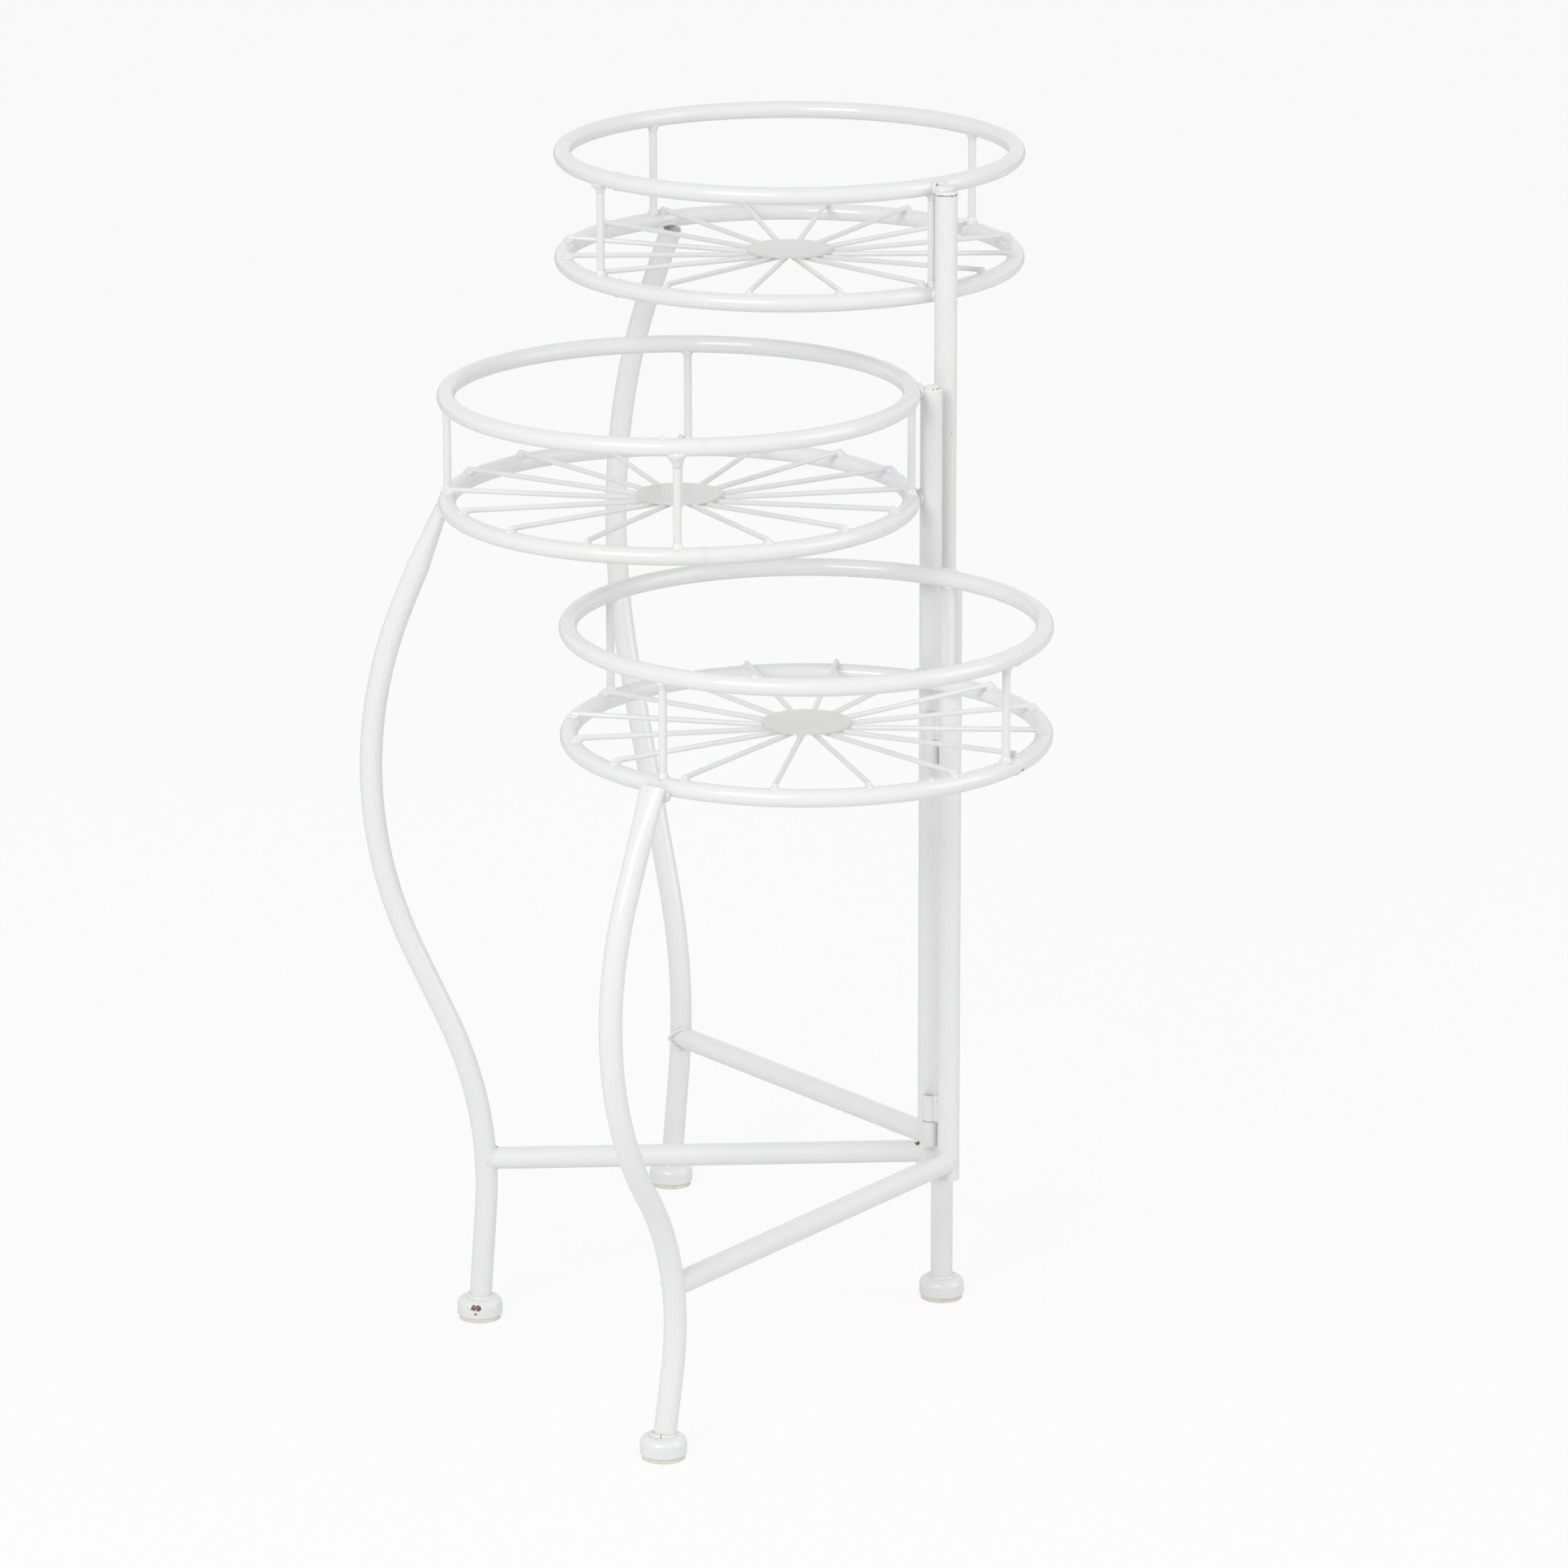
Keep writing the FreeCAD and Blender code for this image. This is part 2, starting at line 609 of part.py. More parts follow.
def past_ring(leaf, name):
    """Formula of a leg point's distance from the post axis."""
    return "ring_reach + " + leaf + "_" + name + "_past"


def leg_path(leaf):
    """The centre line of a leg: three straight runs joined by an outward and an inward bend.

    On a crimped leg a last run, the length of the crimp, follows in line with the top one.
    """
    path = doc.addObject("Sketcher::SketchObject", leaf + "_leg_path")
    upright = Placement(Vector(0, 0, 0), Rotation(X_AXIS, 90))
    path.Placement = leg_plane(leaf).multiply(upright)
    corners = {
        "foot": (past_ring(leaf, "foot"), "tube_seat"),
        "knee": (past_ring(leaf, "knee"), leaf + "_knee_height"),
        "bulge": (past_ring(leaf, "bulge"), leaf + "_bulge_height"),
        "top": (past_ring(leaf, "leg_top"), leaf + "_ring_height + " + leaf + "_leg_top_rise"),
    }
    at = {key: Vector(value_of(x), value_of(y), 0) for key, (x, y) in corners.items()}
    knee_in, knee_out, knee_centre = bend_points(
        at["foot"], at["knee"], at["bulge"], size(leaf + "_knee_bend"))
    bulge_in, bulge_out, bulge_centre = bend_points(
        at["knee"], at["bulge"], at["top"], size(leaf + "_bulge_bend"))
    low_run = path.addGeometry(Part.LineSegment(at["foot"], knee_in))
    knee, knee_first, knee_last = arc_between(knee_centre, knee_in, knee_out)
    knee = path.addGeometry(knee)
    mid_run = path.addGeometry(Part.LineSegment(knee_out, bulge_in))
    bulge, bulge_first, bulge_last = arc_between(bulge_centre, bulge_in, bulge_out)
    bulge = path.addGeometry(bulge)
    run_end = at["top"]
    if leaf in CRIMPED:
        run_end = at["top"] + (bulge_out - at["top"]).normalize() * size("crimp_length")
    top_run = path.addGeometry(Part.LineSegment(bulge_out, run_end))
    for joint in [("Tangent", low_run, 2, knee, knee_first),
                  ("Tangent", knee, knee_last, mid_run, 1),
                  ("Tangent", mid_run, 2, bulge, bulge_first),
                  ("Tangent", bulge, bulge_last, top_run, 1)]:
        path.addConstraint(Sketcher.Constraint(*joint))
    hold(path, Sketcher.Constraint("Radius", knee, size(leaf + "_knee_bend")),
         "knee_bend", leaf + "_knee_bend")
    hold(path, Sketcher.Constraint("Radius", bulge, size(leaf + "_bulge_bend")),
         "bulge_bend", leaf + "_bulge_bend")
    pin_point(path, low_run, 1, 0, *corners["foot"])
    last_run = top_run
    if leaf in CRIMPED:
        last_run = path.addGeometry(Part.LineSegment(run_end, at["top"]))
        path.addConstraint(Sketcher.Constraint("Tangent", top_run, 2, last_run, 1))
        hold(path, Sketcher.Constraint("Distance", last_run, size("crimp_length")),
             "crimp", "crimp_length")
    pin_point(path, last_run, 2, 1, *corners["top"])
    for number, key, runs in [(2, "knee", (low_run, mid_run)), (3, "bulge", (mid_run, top_run))]:
        corner = path.addGeometry(Part.Point(at[key]), True)
        for run in runs:
            path.addConstraint(Sketcher.Constraint("PointOnObject", corner, 1, run))
        pin_point(path, corner, 1, number, *corners[key])
    doc.recompute()
    return path


def sweep_along(name, path, leaf, radius_formula):
    """A round solid along a leg's centre line, from the foot up."""
    section = doc.addObject("Part::Circle", name + "_section")
    bind(section, Radius=radius_formula)
    run = value_of(leaf + "_knee_past - " + leaf + "_foot_past")
    rise = value_of(leaf + "_knee_height - tube_seat")
    tilt = Rotation(Y_AXIS, math.degrees(math.atan2(run, rise)))
    start = Vector(value_of(past_ring(leaf, "foot")), 0, size("tube_seat"))
    section.Placement = leg_plane(leaf).multiply(Placement(start, tilt))
    sweep = doc.addObject("Part::Sweep", name)
    sweep.Sections = [section]
    sweep.Spine = (path, ["Edge%d" % number for number in range(1, 6)])
    sweep.Solid = True
    sweep.Frenet = False
    return sweep


def crimp(name, leaf, radius_formula, width_formula, thickness_formula):
    """A round section that goes over to a flat one at the upper end of a leg."""
    top = Vector(value_of(past_ring(leaf, "leg_top")), 0,
                 value_of(leaf + "_ring_height + " + leaf + "_leg_top_rise"))
    bulge = Vector(value_of(past_ring(leaf, "bulge")), 0, size(leaf + "_bulge_height"))
    along = (top - bulge).normalize()
    tilt = Rotation(Y_AXIS, math.degrees(math.atan2(along.x, along.z)))
    facing = tilt.multiply(Rotation(Z_AXIS, 90))
    start = top - along * size("crimp_length")
    round_end = doc.addObject("Part::Circle", name + "_round_end")
    bind(round_end, Radius=radius_formula)
    round_end.Placement = leg_plane(leaf).multiply(Placement(start, facing))
    flat_end = doc.addObject("Part::Ellipse", name + "_flat_end")
    bind(flat_end, MajorRadius=width_formula, MinorRadius=thickness_formula)
    flat_end.Placement = leg_plane(leaf).multiply(Placement(top, facing))
    loft = doc.addObject("Part::Loft", name)
    loft.Sections = [round_end, flat_end]
    loft.Solid = True
    return loft


def crimped(name, leaf, run, radius_formula, *flat_formulas):
    """A leg's swept run with its crimped end joined on."""
    end = crimp(name + "_crimp", leaf, radius_formula, *flat_formulas)
    whole = doc.addObject("Part::Fuse", name + "_whole")
    whole.Base = run
    whole.Tool = end
    return whole


def make_leg(leaf, frame):
    """The S-shaped leg, its upper end coped to the lower ring. Returns its path and envelope."""
    path = leg_path(leaf)
    envelope = sweep_along(leaf + "_leg_envelope", path, leaf, "post_radius")
    bore = sweep_along(leaf + "_leg_bore", path, leaf, "post_bore / 2")
    if leaf in CRIMPED:
        envelope = crimped(leaf + "_leg_envelope", leaf, envelope, "post_radius",
                           "crimp_width / 2", "crimp_thickness / 2")
        bore = crimped(leaf + "_leg_bore", leaf, bore, "post_bore / 2",
                       "crimp_width / 2 - post_wall", "crimp_thickness / 2 - post_wall")
    tube = cut(leaf + "_leg_tube", envelope, bore)
    ring = torus(leaf + "_leg_cope", "ring_tube_radius",
                 Placement(Vector(size("basket_out"), 0, size(leaf + "_ring_height")), Rotation()))
    keep(cut(leaf + "_leg_coped", tube, ring), leaf + "_leg", frame)
    return path, envelope


def leg_out_at(leaf, path, height):
    """How far from the post axis a leg's centre line stands at a height."""
    doc.recompute()
    reach = value_of(past_ring(leaf, "bulge"))
    level = Part.makePlane(2 * reach, 2 * reach, Vector(-reach, -reach, height))
    distance, pairs, info = path.Shape.distToShape(level)
    crossing = pairs[0][0]
    return math.hypot(crossing.x, crossing.y)


def make_stretcher(leaf, frame, path, envelope):
    """The level tube between post and leg, coped to both."""
    height = size("stretcher_height")
    length = leg_out_at(leaf, path, height)
    level = Placement(Vector(0, 0, height), Rotation(Y_AXIS, 90))
    place = stance(leaf).multiply(level)
    rod = cylinder(leaf + "_stretcher_rod", "post_radius", length, place)
    bore = cylinder(leaf + "_stretcher_bore", "post_bore / 2", length, place)
    tube = cut(leaf + "_stretcher_tube", rod, bore)
    post = cylinder(leaf + "_post_cope", "post_radius", height + size("post_diameter"), Placement())
    post_end = cut(leaf + "_stretcher_post_end", tube, post)
    keep(cut(leaf + "_stretcher_coped", post_end, envelope), leaf + "_stretcher", frame)


# ---------------------------------------------------------------------------
# Feet
# ---------------------------------------------------------------------------

def make_foot(name, frame, spot, tube):
    """A round-shouldered foot cup that the tube's end sits in, and its floor pad."""
    body = new_body(name + "_cup")
    sketch = new_sketch(body, name + "_outline", "XZ_Plane")
    add_outline(sketch, [
        ("0", "pad_thickness"),
        ("foot_diameter / 2", "pad_thickness"),
        ("foot_diameter / 2", "foot_height"),
        ("0", "foot_height"),
    ])
    turned = revolve(body, name + "_turned", sketch)
    doc.recompute()
    rim = circles_at(turned.Shape, size("foot_height"), size("foot_diameter") / 2)
    round_edges(body, name + "_shoulder", turned, rim, "foot_shoulder")
    body.Placement = spot
    keep(cut(name + "_socket", body, tube), name + "_foot", frame)

    pad_body = new_body(name + "_rubber")
    pad_sketch = new_sketch(pad_body, name + "_pad_section", "XY_Plane")
    add_circle(pad_sketch, "pad", "pad_diameter", size("pad_diameter"))
    pad(pad_body, name + "_pad_thickness", pad_sketch, "pad_thickness")
    keep(pad_body, name + "_pad", frame.multiply(spot))


def make_post_foot(frame):
    """The fourth foot, under the tall post."""
    seat = Placement(Vector(0, 0, size("tube_seat")), Rotation())
    post = cylinder("tall_post_end", "post_radius", size("foot_height"), seat)
    make_foot("tall_post", frame, Placement(), post)


# ---------------------------------------------------------------------------
# Hinges
# ---------------------------------------------------------------------------

def make_barrel(label, axis, post, height):
    """A hinge barrel with the web that joins it to its post; the web points along +X."""
    body = new_body(label + "_barrel")
    web = new_sketch(body, label + "_web_section", "XY_Plane")
    add_outline(web, [
        ("0", "-0.5 * web_width"),
        ("hinge_offset", "-0.5 * web_width"),
        ("hinge_offset", "web_width / 2"),
        ("0", "web_width / 2"),
    ])
    pad(body, label + "_web", web, "hinge_length")
    drum = new_sketch(body, label + "_drum_section", "XY_Plane")
    add_circle(drum, "outside", "hinge_barrel", size("hinge_barrel"))
    pad(body, label + "_drum", drum, "hinge_length")
    bore = new_sketch(body, label + "_bore_section", "XY_Plane")
    add_circle(bore, "bore", "barrel_bore", size("barrel_bore"))
    through(body, label + "_bore", bore)
    saddle = new_sketch(body, label + "_saddle_section", "XY_Plane")
    circle = Part.Circle(Vector(size("hinge_offset"), 0, 0), Z_AXIS, size("post_radius"))
    index = saddle.addGeometry(circle)
    saddle.addConstraint(Sketcher.Constraint("PointOnObject", index, 3, -1))
    hold(saddle, Sketcher.Constraint("DistanceX", -1, 1, index, 3, size("hinge_offset")),
         "offset", "hinge_offset")
    hold(saddle, Sketcher.Constraint("Radius", index, size("post_radius")), "post", "post_radius")
    through(body, label + "_saddle", saddle)
    toward = post - axis
    turn = math.degrees(math.atan2(toward.y, toward.x))
    place = Placement(axis + Vector(0, 0, height), Rotation(Z_AXIS, turn))
    keep(body, label, place)


def through(body, name, sketch):
    """Cut a sketch through the whole barrel, upwards from its lower face."""
    doc.recompute()
    before = body.Shape.Volume
    feature = body.newObject("PartDesign::Pocket", name)
    feature.Profile = sketch
    feature.Reversed = True
    bind(feature, Length="hinge_length")
    body.Tip = feature
    doc.recompute()
    if body.Shape.Volume >= before:
        raise RuntimeError(name + " removes nothing")


def make_hinge(name, axis, height, lower_post, upper_post):
    """Two barrels on one pin: the lower one and the pin on one leaf, the upper on the other."""
    length = size("hinge_length")
    gap = size("hinge_gap")
    bottom = height - gap / 2 - length
    make_barrel(name + "_lower_barrel", axis, lower_post, bottom)
    make_barrel(name + "_upper_barrel", axis, upper_post, height + gap / 2)
    pin = doc.addObject("Part::Cylinder", name + "_rod")
    bind(pin, Radius="pin_diameter / 2", Height="2 * hinge_length + hinge_gap - pin_recess")
    keep(pin, name + "_pin", Placement(axis + Vector(0, 0, bottom), Rotation()))


# ---------------------------------------------------------------------------
# The whole stand
# ---------------------------------------------------------------------------

def make_leaf(leaf, frame):
    """All sub-parts of one leaf."""
    low = size(leaf + "_ring_height")
    make_post(leaf, frame)
    make_post_cap(leaf, frame)
    make_ring(leaf, frame, "upper", low + size("basket_depth"), size("seam_turn"))
    make_ring(leaf, frame, "lower", low, -size("seam_turn"))
    make_struts(leaf, frame)
    make_spokes(leaf, frame)
    make_disc(leaf, frame)
    path, envelope = make_leg(leaf, frame)
    make_stretcher(leaf, frame, path, envelope)
    out = Vector(value_of(past_ring(leaf, "foot")), 0, 0)
    spot = stance(leaf).multiply(Placement(out, Rotation()))
    make_foot(leaf + "_leg", frame, spot, envelope)


def make_hinges(frames, axes):
    """Two hinges between each pair of neighbouring posts."""
    post = {leaf: frames[leaf].Base for leaf in LEAVES}
    for level in ["high", "low"]:
        make_hinge("back_hinge_" + level, axes["back"], size("back_hinge_" + level),
                   post["tall"], post["middle"])
        make_hinge("front_hinge_" + level, axes["front"], size("front_hinge_" + level),
                   post["middle"], post["low"])


def check_document():
    """Stop if any object failed or any sub-part is empty or broken."""
    for obj in doc.Objects:
        if "Invalid" in obj.State or "Error" in obj.State:
            raise RuntimeError(obj.Name + " failed: " + str(obj.State))
    for obj in parts:
        if obj.Shape.isNull() or not obj.Shape.isValid():
            raise RuntimeError(obj.Label + " has no valid shape")


def write_parts():
    """One STEP file per sub-part."""
    os.makedirs("parts", exist_ok=True)
    for obj in parts:
        obj.Shape.exportStep("parts/%s.step" % obj.Label)


fill_sheet()
leaf_frames, hinge_axes = lay_out()
for leaf_name in LEAVES:
    make_leaf(leaf_name, leaf_frames[leaf_name])
make_post_foot(leaf_frames["tall"])
make_hinges(leaf_frames, hinge_axes)
doc.recompute()
check_document()
write_parts()
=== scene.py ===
import cmath
import math
from collections import namedtuple

import bmesh
import bpy
from mathutils import Matrix, Vector, noise


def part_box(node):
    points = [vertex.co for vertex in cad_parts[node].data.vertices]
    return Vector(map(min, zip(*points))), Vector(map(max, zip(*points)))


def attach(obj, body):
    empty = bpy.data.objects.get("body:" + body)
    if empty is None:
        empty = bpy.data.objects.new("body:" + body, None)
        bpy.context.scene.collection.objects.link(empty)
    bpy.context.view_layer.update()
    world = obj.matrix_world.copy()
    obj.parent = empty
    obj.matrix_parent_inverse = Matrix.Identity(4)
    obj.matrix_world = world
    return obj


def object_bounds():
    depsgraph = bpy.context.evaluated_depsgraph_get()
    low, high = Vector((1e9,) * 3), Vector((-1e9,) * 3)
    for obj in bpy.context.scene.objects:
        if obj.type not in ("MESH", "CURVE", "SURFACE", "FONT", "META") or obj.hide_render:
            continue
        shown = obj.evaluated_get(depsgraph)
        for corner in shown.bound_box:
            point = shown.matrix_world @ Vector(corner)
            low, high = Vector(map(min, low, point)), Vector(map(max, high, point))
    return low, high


# Looks of a folding plant stand: gloss white paint over tube and wire, the welds that hold
# it together, paint chips, painted shade on the disc plates and at some joints and weld gaps,
# floor pads, a pale floor and soft studio light. Metres, +Z up.

MM = 0.001
FULL_TURN = 2 * math.pi
UP = Vector((0, 0, 1))
LEAVES = ("tall", "middle", "low")
LEVELS = ("lower", "upper")
SPOKES = 16

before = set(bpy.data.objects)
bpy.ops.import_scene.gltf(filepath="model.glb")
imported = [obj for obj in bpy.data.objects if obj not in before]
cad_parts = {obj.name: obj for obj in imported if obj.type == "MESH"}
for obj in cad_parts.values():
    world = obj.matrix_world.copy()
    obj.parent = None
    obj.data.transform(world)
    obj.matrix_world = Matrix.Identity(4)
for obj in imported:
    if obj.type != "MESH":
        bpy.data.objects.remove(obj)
cad_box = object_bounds()


# ---------------------------------------------------------------------------
# The stand as the frame gives it
# ---------------------------------------------------------------------------

def half_size(node, axis):
    """Half a node's extent along one axis."""
    low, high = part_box(node)
    return (high[axis] - low[axis]) / 2


POST_RADIUS = half_size("tall_post", 0)
RING_TUBE = half_size("tall_lower_ring", 2)
STRUT_RADIUS = 2.25 * MM
SPOKE_RADIUS = 1.5 * MM
DISC_RADIUS = 24.5 * MM

# Mesh points that stand closer together than this, seen from the basket, are of one wire.
SAME_WIRE = math.radians(20)

# How much of a leg counts as its upper end, and up to what height it counts as its foot end.
LEG_END = 8 * MM
LEG_BOTTOM = 12 * MM


def middle_of(node):
    """Centre of a node's box."""
    low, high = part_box(node)
    return (low + high) / 2


def on_floor(node):
    """Centre of a node's box, moved straight down to the floor."""
    place = middle_of(node)
    place.z = 0
    return place


def points_of(node):
    """The points of a node's mesh."""
    return [vertex.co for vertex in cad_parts[node].data.vertices]


def first_angle(node, centre, count):
    """Direction of the first of a node's evenly spaced wires, seen from above."""
    total = 0j
    for point in points_of(node):
        offset = point - centre
        total += cmath.exp(1j * count * math.atan2(offset.y, offset.x))
    return cmath.phase(total) / count


def wire_angles(node, centre):
    """Directions of a node's few upright wires, seen from above, whatever their spacing."""
    groups = []
    for point in points_of(node):
        offset = point - centre
        way = complex(offset.x, offset.y)
        way /= abs(way)
        for group in groups:
            if abs(cmath.phase(way / group[0])) < SAME_WIRE:
                group.append(way)
                break
        else:
            groups.append([way])
    return sorted(cmath.phase(sum(group)) for group in groups)


def mean_between(node, low, high):
    """Mean of a node's mesh points between two heights."""
    points = [point for point in points_of(node) if low <= point.z <= high]
    return sum(points, Vector()) / len(points)


def end_angle(node, centre, out):
    """Direction of the middle of a leg's upper end, seen from the basket's centre."""
    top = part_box(node)[1].z
    base = complex(out.x, out.y)
    aside = []
    for point in points_of(node):
        if point.z > top - LEG_END:
            offset = point - centre
            aside.append(cmath.phase(complex(offset.x, offset.y) / base))
    return cmath.phase(base) + (min(aside) + max(aside)) / 2


def reach_along(node, start, direction):
    """How far a node reaches from a point in a direction."""
    return max((point - start).dot(direction) for point in points_of(node))


def read_leaf(name):
    """Where one leaf's post, rings, leg and wires are."""
    post = on_floor(name + "_post")
    centre = on_floor(name + "_disc")
    out = (centre - post).normalized()
    leg_way = (on_floor(name + "_stretcher") - post).normalized()
    return {
        "name": name,
        "body": "leaf_" + name,
        "post": post,
        "centre": centre,
        "out": out,
        "side": UP.cross(out),
        "ring_radius": (centre - post).length - POST_RADIUS - RING_TUBE,
        "lower": middle_of(name + "_lower_ring").z,
        "upper": middle_of(name + "_upper_ring").z,
        "stretcher": middle_of(name + "_stretcher").z,
        "leg_way": leg_way,
        "leg_out": reach_along(name + "_stretcher", post, leg_way),
        "leg_angle": end_angle(name + "_leg", centre, out),
        "leg_base": mean_between(name + "_leg", 0, LEG_BOTTOM),
        "strut_angles": wire_angles(name + "_struts", centre),
        "spoke_angle": first_angle(name + "_spokes", centre, SPOKES),
    }


leaves = {name: read_leaf(name) for name in LEAVES}


# ---------------------------------------------------------------------------
# Mesh building
# ---------------------------------------------------------------------------

# A bead's section: its corners, and its height off the metal over its half-width.
BEAD_SIDES = 10
BEAD_FLATNESS = 0.85

# Unevenness of weld metal: the length of a lump and of a ripple, and their shares of the radius.
LUMP = 2.2 * MM
RIPPLE = 1.5 * MM
BEAD_LUMPS = 0.22
BEAD_RIPPLES = 0.06
BLOB_LUMPS = 0.18
BLOB_DETAIL = 3


def lumpiness(point, scale=LUMP):
    """Smooth noise in -1..1 at a place."""
    return noise.noise(point / scale)


def varied(size, share, point, scale):
    """A size made larger or smaller by up to a share of it, as the place decides."""
    return size * (1 + share * lumpiness(point, scale))


def turns(count):
    """Evenly spaced angles of a full turn."""
    return [FULL_TURN * step / count for step in range(count)]


def between(first, second, turn):
    """The direction at an angle from a first direction towards a perpendicular second one."""
    return first * math.cos(turn) + second * math.sin(turn)


def axes_matrix(first, second, third):
    """A rotation whose columns are three perpendicular directions."""
    return Matrix((first, second, third)).transposed()


def join_rings(mesh, here, there):
    """Faces between two closed rings with the same number of vertices."""
    count = len(here)
    for corner in range(count):
        following = (corner + 1) % count
        mesh.faces.new((here[corner], here[following], there[following], there[corner]))


def add_bead(mesh, path, radius):
    """A ripply weld bead along a closed list of (point, outward) pairs."""
    rings = []
    travelled = 0.0
    for index, (point, outward) in enumerate(path):
        before = path[index - 1][0]
        after = path[(index + 1) % len(path)][0]
        along = (after - before).normalized()
        travelled += (point - before).length if index else 0.0
        rise = (outward - along * outward.dot(along)).normalized()
        across = along.cross(rise)
        ripple = math.sin(FULL_TURN * travelled / RIPPLE)
        swollen = radius * (1 + BEAD_LUMPS * lumpiness(point) + BEAD_RIPPLES * ripple)
        ring = []
        for turn in turns(BEAD_SIDES):
            offset = rise * (BEAD_FLATNESS * math.cos(turn)) + across * math.sin(turn)
            ring.append(mesh.verts.new(point + offset * swollen))
        rings.append(ring)
    for here, there in zip(rings, rings[1:] + rings[:1]):
        join_rings(mesh, here, there)


def add_blob(mesh, point, reach, turn=Matrix.Identity(3), lumps=BLOB_LUMPS, detail=BLOB_DETAIL):
    """A lump of weld metal: an uneven ellipsoid with half-axes reach, turned by a matrix."""
    made = bmesh.ops.create_icosphere(mesh, subdivisions=detail, radius=1.0)
    for vertex in made["verts"]:
        even = turn @ Vector(a * b for a, b in zip(vertex.co, reach))
        swell = 1 + lumps * lumpiness(point + even)
        vertex.co = point + turn @ Vector(a * b * swell for a, b in zip(vertex.co, reach))


def piece_from(mesh, name, body, material):
    """Turn a built mesh into a smooth piece on a body, no higher than the CAD parts."""
    bmesh.ops.recalc_face_normals(mesh, faces=mesh.faces)
    for vertex in mesh.verts:
        vertex.co.z = min(vertex.co.z, cad_box[1].z)
    data = bpy.data.meshes.new(name)
    mesh.to_mesh(data)
    mesh.free()
    data.shade_smooth()
    data.materials.append(material)
    piece = bpy.data.objects.new(name, data)
    bpy.context.scene.collection.objects.link(piece)
    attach(piece, body)


# ---------------------------------------------------------------------------
# Materials
# ---------------------------------------------------------------------------

# The colour sockets of a mix node, which share their names with its sockets for other data.
MIX_FIRST = 6
MIX_SECOND = 7
MIX_RESULT = 2

# Unevenness of a surface: lumps per metre, the detail in them, the noise values between which
# they come up, and how rough the noise is.
Patches = namedtuple("Patches", "per_metre detail low high roughness", defaults=(0.5,))

# Relief of a surface: lumps per metre, the detail in them, strength and depth.
Relief = namedtuple("Relief", "per_metre detail strength depth")

THIN_PLACES = Patches(9.0, 4.0, 0.35, 0.75)
YELLOW_PLACES = Patches(4.0, 2.0, 0.55, 0.8)
DULL_PLACES = Patches(60.0, 4.0, 0.3, 0.7)
RUSTY_PLACES = Patches(900.0, 3.0, 0.4, 0.6)
RAGGED_EDGE = Patches(700.0, 3.0, 0.2, 0.8)
SCUFFS = Patches(260.0, 5.0, 0.45, 0.7, 0.7)

WAVY_PAINT = Relief(110.0, 2.0, 0.1, 0.15 * MM)
PAD_GRAIN = Relief(900.0, 3.0, 0.3, 0.15 * MM)

# Share of its radius at which a chip, a dot of painted shade or a stain begins to fade, and by
# which its edge wanders.
FADE_FROM = 0.8
STAIN_WANDERS = 0.4
CHIP_WANDERS = 0.35


